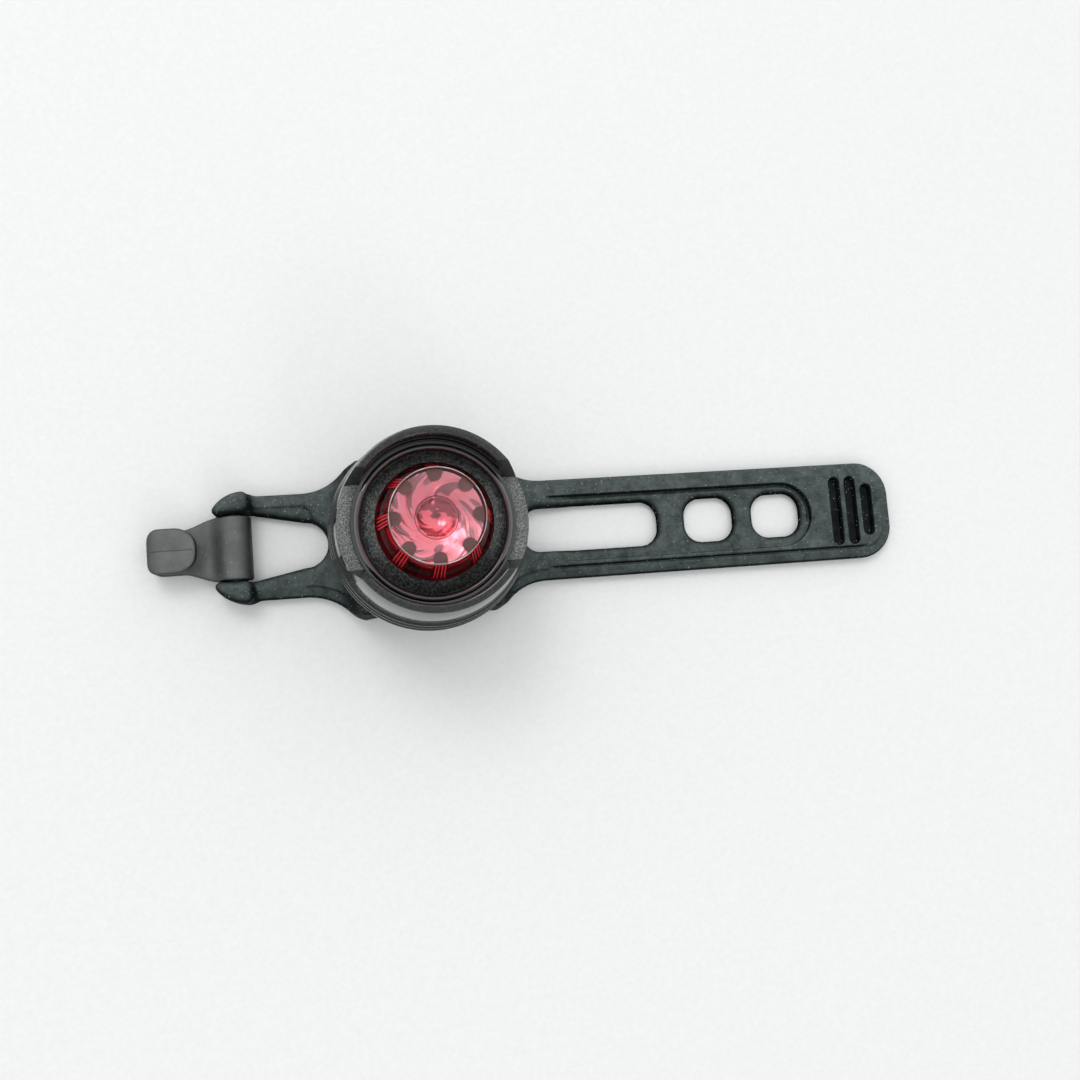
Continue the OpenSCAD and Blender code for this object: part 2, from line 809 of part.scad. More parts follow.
// Contact leaf: a foot on the face that holds it, and an arm that springs away from that face
module contact_leaf(height) {
  across(leaf_w)
    polygon([
      [-leaf_reach, 0],
      [0, 0],
      [leaf_reach - leaf_t * 4, height - leaf_t],
      [leaf_reach, height - leaf_t],
      [leaf_reach, height],
      [leaf_reach - leaf_t * 5, height],
      [-leaf_t, leaf_t],
      [-leaf_reach, leaf_t]
    ]);
}

module positive_contact() {
  color([0.75, 0.7, 0.5]) in_lamp()
    translate([0, 0, board_z]) rotate([180, 0, 0]) contact_leaf(upper_leaf_h);
}

module negative_spring() {
  color([0.75, 0.7, 0.5]) in_lamp()
    translate([0, 0, floor_t]) contact_leaf(lower_leaf_h);
}

module battery_holder() {
  top = cells_top - near_gap;
  color([0.15, 0.15, 0.16]) in_lamp()
    difference() {
      turned([
        [shelf_r, floor_t],
        [holder_r, floor_t],
        [holder_r, top],
        [holder_in_r, top],
        [holder_in_r, shelf_z],
        [shelf_r, shelf_z]
      ]);
      translate([-finger_w / 2, -2 * well_r, spigot_top]) cube([finger_w, 4 * well_r, cells_top]);
    }
}

// Coin cell: a can over a smaller cap, with the cap below
module coin_cell(z) {
  color([0.78, 0.78, 0.8]) in_lamp() translate([0, 0, z])
    turned([
      [0, 0],
      [cell_cap_r, 0],
      [cell_cap_r, cell_cap_h],
      [cell_r, cell_cap_h],
      [cell_r, cell_t],
      [0, cell_t]
    ]);
}

module coin_cell_lower() {
  coin_cell(cell_z);
}

module coin_cell_upper() {
  coin_cell(cell_z + cell_t);
}

strap_pad();
strap_tail();
strap_loop();
hook();
base_cap();
seal_ring();
housing();
retaining_ring();
return_ring();
button_bezel();
lens();
led_dome();
led_frame();
circuit_board();
switch_body();
switch_plunger();
control_chip();
resistors();
positive_contact();
negative_spring();
battery_holder();
coin_cell_lower();
coin_cell_upper();
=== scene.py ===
"""Looks of a bike rear light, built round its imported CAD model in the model's own frame."""

import math

import bmesh
import bpy
import numpy as np
from mathutils import Matrix, Vector


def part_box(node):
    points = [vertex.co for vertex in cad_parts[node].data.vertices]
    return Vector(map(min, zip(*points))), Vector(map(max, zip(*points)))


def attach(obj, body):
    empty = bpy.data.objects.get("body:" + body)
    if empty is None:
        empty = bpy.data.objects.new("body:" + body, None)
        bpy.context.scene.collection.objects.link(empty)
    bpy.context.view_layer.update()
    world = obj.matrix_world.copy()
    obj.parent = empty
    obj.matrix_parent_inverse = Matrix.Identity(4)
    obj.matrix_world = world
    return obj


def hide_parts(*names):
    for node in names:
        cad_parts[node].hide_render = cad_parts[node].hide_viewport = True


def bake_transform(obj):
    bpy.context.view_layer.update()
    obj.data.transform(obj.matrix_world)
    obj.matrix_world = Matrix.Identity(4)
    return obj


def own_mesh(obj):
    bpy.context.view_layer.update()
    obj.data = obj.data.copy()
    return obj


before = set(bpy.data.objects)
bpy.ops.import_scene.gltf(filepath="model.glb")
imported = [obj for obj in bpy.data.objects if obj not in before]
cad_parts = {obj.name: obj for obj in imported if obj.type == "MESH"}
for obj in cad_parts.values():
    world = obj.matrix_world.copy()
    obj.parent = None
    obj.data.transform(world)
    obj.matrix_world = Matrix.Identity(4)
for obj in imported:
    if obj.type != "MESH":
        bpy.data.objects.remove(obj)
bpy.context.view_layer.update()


# Silicone strap: one black moulding with a pad under the lamp, a slotted tail and a loop with two ears.
# Every edge is rounded, as poured silicone has no sharp edge. The loop's cross bar is part of it.
# The skin is cut under the lamp into two halves, because each half bends at a joint of its own.

MM = 0.001
pad_low, pad_high = (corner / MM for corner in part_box("strap_pad"))
tail_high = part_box("strap_tail")[1] / MM
loop_low, loop_high = (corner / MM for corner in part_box("strap_loop"))

# Sizes in millimetres, most of them those of the part's source
strap_under, strap_top, strap_half_w = pad_low.z, tail_high.z, tail_high.y
strap_bevel_w, strap_bevel_drop, strap_edge_r = 2.0, 0.5, 0.45
strap_lip_depth, strap_lip_slope = 0.14, 0.3
strap_foot_r = 0.55
pad_top, pad_half_x, pad_half_y = pad_high.z, 12.0, pad_high.y
pad_draft, pad_corner_r, pad_edge_r = 0.8, 1.4, 1.5
shoulder_r = 6.0
flex_x = pad_high.x
flare_r = 10.0
saddle_r, saddle_edge_r = 12.7, 0.4
foot_recess_r, foot_recess_low, foot_recess_high = 8.55, 13.6, 14.6
foot_neck_r = 5.05
tail_end, tail_corner_r = tail_high.x, 6.0
crease_depth, crease_half_w, crease_end, crease_fade = 0.6, 0.36, 80.0, 2.0
seam_depth, seam_half_w, seam_fade = 0.36, 0.36, 2.0
opening_edge_r = 1.45
slot_half_w, slot_corner_r = 3.7, 2.9
slot_start, slot_end = 16.8, 40.6
hole_half_len, hole_start, hole_pitch, hole_count = 4.3, 50.3, 12.6, 2
panel_half_w, panel_end, panel_depth, panel_slope, panel_run_in = 5.8, 69.4, 0.6, 0.24, 6.0
grip_places, grip_half_lens = (74.2, 77.2, 80.2), (6.25, 6.25, 4.75)
grip_half_w, grip_depth, grip_slope = 1.1, 1.25, 0.34
loop_end = -loop_low.x
ear_half_w, ear_in_y, ear_start, ear_top = loop_high.y, 5.4, 28.5, loop_high.z
ear_corner_r, ear_edge_r, ear_step_r = 6.0, 1.2, 1.3
loop_open_middle, loop_open_r = 20.0, 3.7
arm_sink_start, arm_sink_half_w, arm_sink_corner_r = 18.2, 7.1, 3.0
arm_sink_depth, arm_sink_slope = 0.4, 0.8
bar_x, bar_z, bar_r = 31.1, 9.1, 1.6
skin_step, skin_margin = 0.24, 0.8


def rounded_join(a, b, r):
    """The deeper of two distances, with a round edge of radius r where their faces meet."""
    return np.minimum(np.maximum(a, b), -r) + np.hypot(np.maximum(a + r, 0), np.maximum(b + r, 0))


def filled_join(a, b, r):
    """The nearer of two distances, with a hollow fillet of radius r between their faces."""
    return -rounded_join(-a, -b, r)


def eased(share):
    """Share from 0 to 1 with a soft start and end."""
    share = np.clip(share, 0, 1)
    return share * share * (3 - 2 * share)


def rounded_box(x, y, half_x, half_y, r):
    """Distance from the outline of a box with round corners."""
    out_x, out_y = np.abs(x) - half_x + r, np.abs(y) - half_y + r
    outside = np.hypot(np.maximum(out_x, 0), np.maximum(out_y, 0))
    return outside + np.minimum(np.maximum(out_x, out_y), 0) - r


def strap_plan(x, y):
    """Distance from the strap's outline in plan, with the flares that widen it to the pad."""
    away, side = np.abs(x), np.abs(y)
    flare = flare_r - np.hypot(away - flex_x, side - strap_half_w - flare_r)
    return np.where(away < flex_x, flare, side - strap_half_w)


def strap_blank(x, y, z, plan):
    """Distances from the strap's outline and from its top, once the pad's sides and shoulders are added."""
    lean = pad_half_y - pad_draft * (z - strap_under) / (pad_top - strap_under)
    plan = rounded_join(plan, np.abs(y) - lean, pad_corner_r)
    top = filled_join(np.abs(x) - pad_half_x, z - strap_top, shoulder_r)
    return plan, rounded_join(top, z - pad_top, pad_edge_r)


def topped_strap(plan, top):
    """Distance from the strap once its outline and its top are joined by a flat bevel."""
    length = np.hypot(strap_bevel_w, strap_bevel_drop)
    top = top + strap_lip_depth * eased((plan + strap_bevel_w) / strap_lip_slope)
    bevel = (plan * strap_bevel_drop + top * strap_bevel_w + strap_bevel_w * strap_bevel_drop) / length
    return rounded_join(np.maximum(top, bevel), plan, strap_edge_r)


def closed_strap(x, y, z, skin):
    """Distance from the strap once its underside, its saddle and the seat of the lamp's foot are cut."""
    skin = rounded_join(skin, strap_under - z, strap_foot_r)
    skin = rounded_join(skin, saddle_r - np.hypot(x, z), saddle_edge_r)
    radius = np.hypot(x, y)
    recess = np.maximum(radius - foot_recess_r, np.maximum(foot_recess_low - z, z - foot_recess_high))
    neck = np.maximum(radius - foot_neck_r, foot_recess_low - z)
    return np.maximum(skin, -np.minimum(recess, neck))


def tail_half(x, y, z):
    """Distance from the tail's half of the strap."""
    plan = rounded_join(strap_plan(x, y), x - tail_end, tail_corner_r)
    plan, top = strap_blank(x, y, z, plan)
    round_middle = panel_end - panel_half_w
    panel = np.where(x > round_middle, np.hypot(x - round_middle, y), np.abs(y)) - panel_half_w
    top = top + panel_depth * eased(-panel / panel_slope) * eased((x - flex_x) / panel_run_in)
    off_seam = np.abs(panel + panel_slope + seam_half_w / 2)
    seam = eased(2 - 2 * off_seam / seam_half_w) * eased(y / seam_fade + 1)
    top = top + seam_depth * seam * eased((x - flex_x) / seam_fade)
    for place, half_len in zip(grip_places, grip_half_lens):
        groove = rounded_box(x - place, y, grip_half_w, half_len, grip_half_w)
        top = top + grip_depth * eased(-groove / grip_slope)
    crease = 1 - np.abs(plan + strap_bevel_w) / crease_half_w
    run_out = eased((x - flex_x) / crease_fade) * eased((crease_end - x) / crease_fade)
    top = top + crease_depth * eased(crease) * run_out * (y < 0)
    skin = closed_strap(x, y, z, topped_strap(plan, top))
    openings = [((slot_start + slot_end) / 2, (slot_end - slot_start) / 2)]
    openings += [(hole_start + hole_pitch * n, hole_half_len) for n in range(hole_count)]
    for middle, half_len in openings:
        opening = rounded_box(x - middle, y, half_len, slot_half_w, slot_corner_r)
        skin = rounded_join(skin, -opening, opening_edge_r)
    return skin


def loop_half(x, y, z):
    """Distance from the loop's half of the strap, with its ears and its cross bar."""
    away, side = -x, np.abs(y)
    plan, top = strap_blank(x, y, z, strap_plan(x, y))
    sink_len = ear_start + ear_corner_r - arm_sink_start
    sink_x = away - arm_sink_start - sink_len / 2
    sink = rounded_box(sink_x, y, sink_len / 2, arm_sink_half_w, arm_sink_corner_r)
    top = top + arm_sink_depth * eased(-sink / arm_sink_slope)
    plan = rounded_join(plan, away - ear_start - ear_edge_r, ear_step_r)
    ear = rounded_join(side - ear_half_w, away - loop_end, ear_corner_r)
    ear = rounded_join(ear, ear_start - away, ear_step_r)
    ear = rounded_join(ear, z - ear_top, ear_edge_r)
    skin = closed_strap(x, y, z, filled_join(topped_strap(plan, top), ear, ear_step_r))
    spread = (ear_in_y - loop_open_r) / (ear_start - loop_open_middle)
    half_w = loop_open_r + np.clip(spread * (away - loop_open_middle), 0, ear_in_y - loop_open_r)
    round_end = np.hypot(away - loop_open_middle, y) - loop_open_r
    opening = np.where(away < loop_open_middle, round_end, side - half_w)
    skin = rounded_join(skin, -opening, opening_edge_r)
    bar = np.maximum(np.hypot(away - bar_x, z - bar_z) - bar_r, side - ear_in_y - bar_r)
    return np.minimum(skin, bar)


def moulded_skin(field, low, high, step):
    """Points and quads of the surface where a field of distances is zero, inside a box."""
    settle_rounds, least_slope, reach = 3, 0.3, step / 10
    axes = [np.arange(a, b + step, step) for a, b in zip(low, high)]
    values = field(*np.meshgrid(*axes, indexing="ij"))
    values[[0, -1]] = values[:, [0, -1]] = values[:, :, [0, -1]] = step
    cells = np.array(values.shape) - 1
    strides = np.array((cells[1] * cells[2], cells[2], 1))
    total, count, quads = np.zeros((cells.prod(), 3)), np.zeros(cells.prod()), []
    for axis in range(3):
        near, far = np.delete(values, -1, axis), np.delete(values, 0, axis)
        at = np.argwhere((near < 0) != (far < 0))
        a, b = near[tuple(at.T)], far[tuple(at.T)]
        crossing = at.astype(float)
        crossing[:, axis] += a / (a - b)
        ring = []
        for back_u, back_v in ((0, 0), (1, 0), (1, 1), (0, 1)):
            cell = at.copy()
            cell[:, (axis + 1) % 3] -= back_u
            cell[:, (axis + 2) % 3] -= back_v
            ring.append(cell @ strides)
            np.add.at(total, ring[-1], crossing)
            np.add.at(count, ring[-1], 1)
        ring = np.column_stack(ring)
        ring[a > 0] = ring[a > 0, ::-1]
        quads.append(ring)
    used = np.flatnonzero(count)
    number = np.zeros(len(count), int)
    number[used] = np.arange(len(used))
    points = total[used] / count[used, None] * step + np.array(low)
    for _ in range(settle_rounds):
        slope = np.column_stack([
            field(*(points + nudge).T) - field(*(points - nudge).T) for nudge in reach * np.eye(3)
        ]) / (2 * reach)
        move = field(*points.T) / np.maximum((slope * slope).sum(1), least_slope)
        points -= np.clip(move, -reach, reach)[:, None] * slope
    return points, number[np.vstack(quads)]


def add_piece(name, points, faces, material):
    """New smooth mesh object from points in millimetres."""
    mesh = bpy.data.meshes.new(name)
    mesh.from_pydata((np.asarray(points) * MM).tolist(), [], np.asarray(faces).tolist())
    mesh.shade_smooth()
    mesh.materials.append(material)
    piece = bpy.data.objects.new(name, mesh)
    bpy.context.scene.collection.objects.link(piece)
    return piece


def keep_rest_place(piece):
    """Stores each point's place and facing at rest, so that the finish stays with the rubber as it bends."""
    place = piece.data.attributes.new("rest_place", "FLOAT_VECTOR", "POINT")
    place.data.foreach_set("vector", np.array([v.co for v in piece.data.vertices]).ravel())
    facing = piece.data.attributes.new("rest_facing", "FLOAT_VECTOR", "POINT")
    facing.data.foreach_set("vector", np.array([v.normal for v in piece.data.vertices]).ravel())


def cut_flat(piece, keep_side):
    """Cuts a piece off at the plane under the lamp's axis and closes the cut with a flat face."""
    work = bmesh.new()
    work.from_mesh(piece.data)
    whole = work.verts[:] + work.edges[:] + work.faces[:]
    bmesh.ops.bisect_plane(
        work, geom=whole, plane_co=(0, 0, 0), plane_no=(-keep_side, 0, 0), clear_outer=True,
    )
    rim = [edge for edge in work.edges if edge.is_boundary]
    for edge in rim:
        edge.smooth = False
    for face in bmesh.ops.holes_fill(work, edges=rim, sides=0)["faces"]:
        face.smooth = False
    work.to_mesh(piece.data)
    work.free()


def wire(tree, kind, inputs=None, **settings):
    """New shader node. An input is a plain value, or a socket that is linked to it."""
    node = tree.nodes.new(kind)
    for name, value in settings.items():
        setattr(node, name, value)
    for name, value in (inputs or {}).items():
        if isinstance(value, bpy.types.NodeSocket):
            tree.links.new(value, node.inputs[name])
        else:
            node.inputs[name].default_value = value
    return node


def new_finish(name, **sockets):
    """New material with one shader, whose even values are set on its own sockets."""
    material = bpy.data.materials.new(name)
    material.use_nodes = True
    shader = material.node_tree.nodes["Principled BSDF"]
    for socket, value in sockets.items():
        shader.inputs[socket.replace("_", " ")].default_value = value
    return material, material.node_tree, shader


def feed(tree, shader, **sources):
    """Links what other nodes give to a shader's sockets."""
    for socket, source in sources.items():
        tree.links.new(source, shader.inputs[socket.replace("_", " ")])


def noise(tree, place, **sockets):
    """Cloudy value from 0 to 1 over a place."""
    return wire(tree, "ShaderNodeTexNoise", {"Vector": place, **sockets}).outputs["Fac"]


def calc(tree, operation, a, b=0.5):
    """One step of arithmetic. Some operations take no second value."""
    return wire(tree, "ShaderNodeMath", {0: a, 1: b}, operation=operation).outputs[0]


def spread_value(tree, factor, low, high, start=0.0, end=1.0):
    """Value from low to high as a factor goes from start to end."""
    return wire(tree, "ShaderNodeMapRange", {
        "Value": factor, "From Min": start, "From Max": end, "To Min": low, "To Max": high,
    }).outputs["Result"]


def ramp(tree, factor, dark, light, between):
    """Colour that goes from dark to light between two values of a factor."""
    node = wire(tree, "ShaderNodeValToRGB", {"Fac": factor})
    for stop, place, colour in zip(node.color_ramp.elements, between, (dark, light)):
        stop.position = place
        stop.color = (*colour, 1)
    return node.outputs["Color"]


def mixed(tree, share, under, over, how="MIX"):
    """Colour with a share of another laid over it."""
    return wire(
        tree, "ShaderNodeMix", {"Factor": share, "A": under, "B": over}, data_type="RGBA", blend_type=how,
    ).outputs[2]


def dusted(tree, paint, place, scale, reach, share):
    """Colour with pale specks of dust on it: a share of the cells have none."""
    dust_and_shade = (0.36, 0.38, 0.37, 1)
    cell = wire(tree, "ShaderNodeTexVoronoi", {"Vector": place, "Scale": scale})
    near = calc(tree, "LESS_THAN", cell.outputs["Distance"], reach)
    hue = wire(tree, "ShaderNodeSeparateColor", {"Color": cell.outputs["Color"]})
    chosen = calc(tree, "GREATER_THAN", hue.outputs["Red"], share)
    return mixed(tree, calc(tree, "MULTIPLY", near, chosen), paint, dust_and_shade)


def roughen(tree, shader, height, strength, depth):
    """Relief in the finish alone, as deep as some millimetres."""
    bump = wire(tree, "ShaderNodeBump", {"Height": height, "Strength": strength, "Distance": depth * MM})
    feed(tree, shader, Normal=bump.outputs["Normal"])


def silicone_finish():
    """Black silicone: satin, with painted shade that darkens its sides and the walls of its openings, grooves
    and creases, and pale specks of dust that cling to it.
    """
    dark, light = (0.015, 0.026, 0.026), (0.09, 0.115, 0.113)
    deepest_shade, lit_side = 0.14, (0, 0.3, 0.95)
    dust_and_shade_low, dust_and_shade_high = strap_top - 1.3, strap_top - 0.7
    lean_start, lean_end = 0.5, 0.93
    lit_sheen = 0.34
    material, tree, shader = new_finish("silicone")
    place = wire(tree, "ShaderNodeAttribute", attribute_name="rest_place").outputs["Vector"]
    facing = wire(tree, "ShaderNodeAttribute", attribute_name="rest_facing").outputs["Vector"]
    bloom = noise(tree, place, Scale=420, Detail=7, Roughness=0.75)
    tone = ramp(tree, bloom, dark, light, between=(0.34, 0.68))
    # Painted shade: the colour darkens below the strap's top, on the walls of openings, grooves and creases,
    # and where the surface at rest faces away from the lit side, up and towards +Y.
    height = wire(tree, "ShaderNodeSeparateXYZ", {"Vector": place}).outputs["Z"]
    shade_below_top = spread_value(tree, height, deepest_shade, 1, dust_and_shade_low * MM, dust_and_shade_high * MM)
    upward = wire(tree, "ShaderNodeVectorMath", {0: facing, 1: lit_side}, operation="DOT_PRODUCT")
    shade_by_facing = spread_value(tree, upward.outputs["Value"], deepest_shade, 1, lean_start, lean_end)
    dust_and_shade = calc(tree, "MULTIPLY", shade_below_top, shade_by_facing)
    tone = mixed(tree, 1.0, tone, dust_and_shade, "MULTIPLY")
    tone = dusted(tree, tone, place, scale=1150, reach=0.1, share=0.5)
    tone = dusted(tree, tone, place, scale=2100, reach=0.13, share=0.6)
    feed(tree, shader, Base_Color=tone, Roughness=spread_value(tree, bloom, 0.45, 0.72))
    # The sheen is cut down by the same painted shade.
    feed(tree, shader, Specular_IOR_Level=calc(tree, "MULTIPLY", dust_and_shade, lit_sheen))
    roughen(tree, shader, noise(tree, place, Scale=5200, Detail=2), strength=0.12, depth=0.05)
    return material


silicone = silicone_finish()
side_reach = pad_half_y + skin_margin
skin_low, skin_high = strap_under - skin_margin, pad_top + skin_margin
tail_box = (-2 * skin_margin, -side_reach, skin_low), (tail_end + skin_margin, side_reach, skin_high)
tail_skin = add_piece("strap_tail_skin", *moulded_skin(tail_half, *tail_box, skin_step), silicone)
cut_flat(tail_skin, keep_side=1)
keep_rest_place(tail_skin)
loop_box = (-loop_end - skin_margin, -side_reach, skin_low), (2 * skin_margin, side_reach, skin_high)
loop_skin = add_piece("strap_loop_skin", *moulded_skin(loop_half, *loop_box, skin_step), silicone)
cut_flat(loop_skin, keep_side=-1)
keep_rest_place(loop_skin)

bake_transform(tail_skin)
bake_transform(loop_skin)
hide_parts("strap_tail", "strap_pad")
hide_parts("strap_loop", "strap_pad")


# Hook: dark grey nylon, moulded in one piece with an eye that snaps over the loop's bar.
# Its strip runs out from the eye, narrows, curls over and comes back as a short tongue with a round tip.

eye_r, eye_bore_r = 2.7, 1.65
eye_half_w, tongue_half_w = 5.25, 3.65
hook_half_t = 0.745
curl_run, curl_up, curl_r, curl_corner_r = 11.0, 0.2, 2.2, 2.2
tongue_len = 5.4
taper_start, taper_end = 2.7, 8.7
hook_edge_r, eye_fillet_r, bore_edge_r = 0.5, 1.6, 0.36
hook_step = 0.2
hook_margin = Vector((0.57, 0.67, 0.63))
no_face_near = 9.0


def to_segment(u, w, start, end):
    """Distance from a straight line between two points."""
    (u0, w0), (u1, w1) = start, end
    du, dw = u1 - u0, w1 - w0
    share = np.clip(((u - u0) * du + (w - w0) * dw) / (du * du + dw * dw), 0, 1)
    return np.hypot(u - u0 - share * du, w - w0 - share * dw)


def hook_field(x, y, z):
    """Distance from the hook. Its profile is drawn from the bar, with u towards the curl."""
    u, side, w = -x - bar_x, np.abs(y), z - bar_z
    strip = to_segment(u, w, (0, 0), (curl_run, curl_up - curl_r)) - hook_half_t
    eye = np.hypot(u, w) - eye_r
    curl = np.abs(np.hypot(u - curl_run, w - curl_up) - curl_r) - hook_half_t
    curl = np.where(u > curl_run, curl, no_face_near)
    tongue_w = curl_up + curl_r
    tongue_start = curl_run - tongue_len + hook_half_t
    tongue = to_segment(u, w, (tongue_start, tongue_w), (curl_run, tongue_w)) - hook_half_t
    profile = np.minimum(filled_join(strip, eye, eye_fillet_r), np.minimum(curl, tongue))
    narrow = (eye_half_w - tongue_half_w) * eased((u - taper_start) / (taper_end - taper_start))
    strip_plan = side - eye_half_w + narrow
    tip_middle = curl_run - tongue_len + tongue_half_w
    tip_plan = np.where(u < tip_middle, np.hypot(u - tip_middle, y), side) - tongue_half_w
    curl_end = curl_run + curl_r + hook_half_t
    strip_plan = rounded_join(strip_plan, u - curl_end, curl_corner_r)
    tip_plan = rounded_join(tip_plan, u - curl_end, curl_corner_r)
    over_strip = (w > (curl_up + tongue_w) / 2) & (u < curl_run) & (u > eye_r)
    skin = rounded_join(profile, np.where(over_strip, tip_plan, strip_plan), hook_edge_r)
    return rounded_join(skin, eye_bore_r - np.hypot(u, w), bore_edge_r)


def object_place(tree):
    """Place on a piece, which stays with the piece as it moves."""
    return wire(tree, "ShaderNodeTexCoord").outputs["Object"]


def nylon_finish():
    """Dark grey nylon: fine matt grain, painted shade on what faces away from straight up, pale specks of
    dust, and a parting line along the tongue that is darkened with painted shade.
    """
    dark, light = (0.085, 0.092, 0.089), (0.15, 0.158, 0.154)
    deepest_shade, lean_start, lean_end = 0.06, 0.5, 0.985
    line_half_w, line_shade, line_depth = 0.14 * MM, 0.3, 1.6
    line_start = -(bar_x + curl_run - tongue_len + hook_half_t) * MM
    material, tree, shader = new_finish("hook_plastic", Specular_IOR_Level=0.4)
    place = object_place(tree)
    cloud = noise(tree, place, Scale=330, Detail=6, Roughness=0.7)
    tone = ramp(tree, cloud, dark, light, between=(0.3, 0.7))
    # Painted shade: the colour darkens as the surface turns away from facing straight up.
    facing = wire(tree, "ShaderNodeTexCoord").outputs["Normal"]
    upward = wire(tree, "ShaderNodeSeparateXYZ", {"Vector": facing}).outputs["Z"]
    tone = mixed(tree, 1.0, tone, spread_value(tree, upward, deepest_shade, 1, lean_start, lean_end), "MULTIPLY")
    tone = dusted(tree, tone, place, scale=1400, reach=0.1, share=0.62)
    # Painted shade: the colour is darkened along the parting line's groove on the tongue.
    parts = wire(tree, "ShaderNodeSeparateXYZ", {"Vector": place})
    short_of_tip = calc(tree, "GREATER_THAN", parts.outputs["X"], line_start)
    off_line = calc(tree, "ADD", calc(tree, "ABSOLUTE", parts.outputs["Y"]), short_of_tip)
    shade = spread_value(tree, off_line, line_shade, 1, 0, line_half_w)
    tone = mixed(tree, 1.0, tone, shade, "MULTIPLY")
    feed(tree, shader, Base_Color=tone, Roughness=spread_value(tree, cloud, 0.36, 0.62))
    grain = noise(tree, place, Scale=7000, Detail=2)
    line = spread_value(tree, off_line, -line_depth, 0, 0, line_half_w)
    roughen(tree, shader, calc(tree, "ADD", grain, line), strength=0.35, depth=0.05)
    return material


hook_low, hook_high = (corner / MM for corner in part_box("hook"))
hook_mesh = moulded_skin(hook_field, hook_low - hook_margin, hook_high + hook_margin, hook_step)
hook_skin = add_piece("hook_skin", *hook_mesh, nylon_finish())
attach(hook_skin, "hook")
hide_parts("hook")


# Base cap: turned from black anodised aluminium, with a flange that shows as the lamp's lowest ring.
# Its foot sits in the pad, and its spigot has the thread that the housing screws on.

base_r, rim_r, lamp_h = 16.0, 13.82, 18.5
flange_r, flange_h = 15.98, 2.2
spigot_r, spigot_top = 13.2, 7.2
well_r, well_floor = 11.4, 1.2
foot_r, foot_low, foot_high, neck_r = 8.5, -2.2, -1.2, 5.0
thread_pitch, thread_depth, thread_low, thread_high = 1.25, 0.55, 3.5, 6.9
thread_run_in, thread_run_out, thread_margin = 0.6, 0.4, 0.1
flank_slope, crest_share, rows_a_pitch = 1.25, 0.1, 14
edge_break, eased_points, touch = 0.16, 3, 1e-3
lamp_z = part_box("base_cap")[0].z / MM - foot_low


def broken_edges(profile, size):
    """A turned profile with each corner eased by three points, as a file or a form tool leaves it."""
    side_share = 2.2
    profile = np.array(profile, float)
    points = []
    for before, corner, after in zip(np.roll(profile, 1, 0), profile, np.roll(profile, -1, 0)):
        if corner[0] < touch:
            points.append(corner)
            continue
        back, on = before - corner, after - corner
        reach = min(size, np.linalg.norm(back) / side_share, np.linalg.norm(on) / side_share)
        a, b = corner + back / np.linalg.norm(back) * reach, corner + on / np.linalg.norm(on) * reach
        points += [a, (a + b + 2 * corner) / 4, b]
    return np.array(points)


def turned_mesh(profile, radius_at=None, turn_count=192):
    """Points and quads of a closed profile of radius and height, turned round the lamp's axis."""
    angles = np.linspace(0, 2 * math.pi, turn_count, endpoint=False)
    r, z = np.asarray(profile).T
    wide = np.tile(r, (turn_count, 1))
    if radius_at:
        wide = radius_at(wide, z[None, :], angles[:, None])
    x, y = wide * np.cos(angles)[:, None], wide * np.sin(angles)[:, None]
    points = np.stack([x, y, wide * 0 + z + lamp_z], axis=-1)
    number = np.arange(turn_count * len(r)).reshape(turn_count, len(r))
    on, up = np.roll(number, -1, 0), np.roll(number, -1, 1)
    quads = np.stack([number, on, np.roll(on, -1, 1), up], axis=-1).reshape(-1, 4)
    return points.reshape(-1, 3), quads


def set_sharp(piece, degrees):
    """Welds points that coincide, and shades edges that turn by more than some degrees as sharp."""
    weld = 1e-7
    work = bmesh.new()
    work.from_mesh(piece.data)
    bmesh.ops.remove_doubles(work, verts=work.verts, dist=weld)
    bmesh.ops.dissolve_degenerate(work, edges=work.edges, dist=weld)
    bmesh.ops.delete(work, geom=[edge for edge in work.edges if edge.is_wire], context="EDGES")
    bmesh.ops.recalc_face_normals(work, faces=work.faces)
    work.to_mesh(piece.data)
    work.free()
    piece.data.shade_smooth()
    piece.data.set_sharp_from_angle(angle=math.radians(degrees))


def threaded(r, z, angle):
    """Radius with the thread cut into the spigot's wall."""
    turns = (z / thread_pitch - angle / (2 * math.pi)) % 1
    run_out = eased((z - thread_low) / thread_run_in) * eased((thread_high - z) / thread_run_out)
    flank = np.clip(flank_slope * (1 - np.abs(2 * turns - 1)) - crest_share, 0, 1)
    return np.where(np.isclose(r, spigot_r, atol=touch), r - thread_depth * flank * run_out, r)


def round_axis(tree, place):
    """A place's three parts, its flat part alone, and its distance from the lamp's axis."""
    parts = wire(tree, "ShaderNodeSeparateXYZ", {"Vector": place}).outputs
    flat = wire(tree, "ShaderNodeCombineXYZ", {"X": parts["X"], "Y": parts["Y"]}).outputs[0]
    radius = wire(tree, "ShaderNodeVectorMath", {0: flat}, operation="LENGTH").outputs["Value"]
    return parts, flat, radius


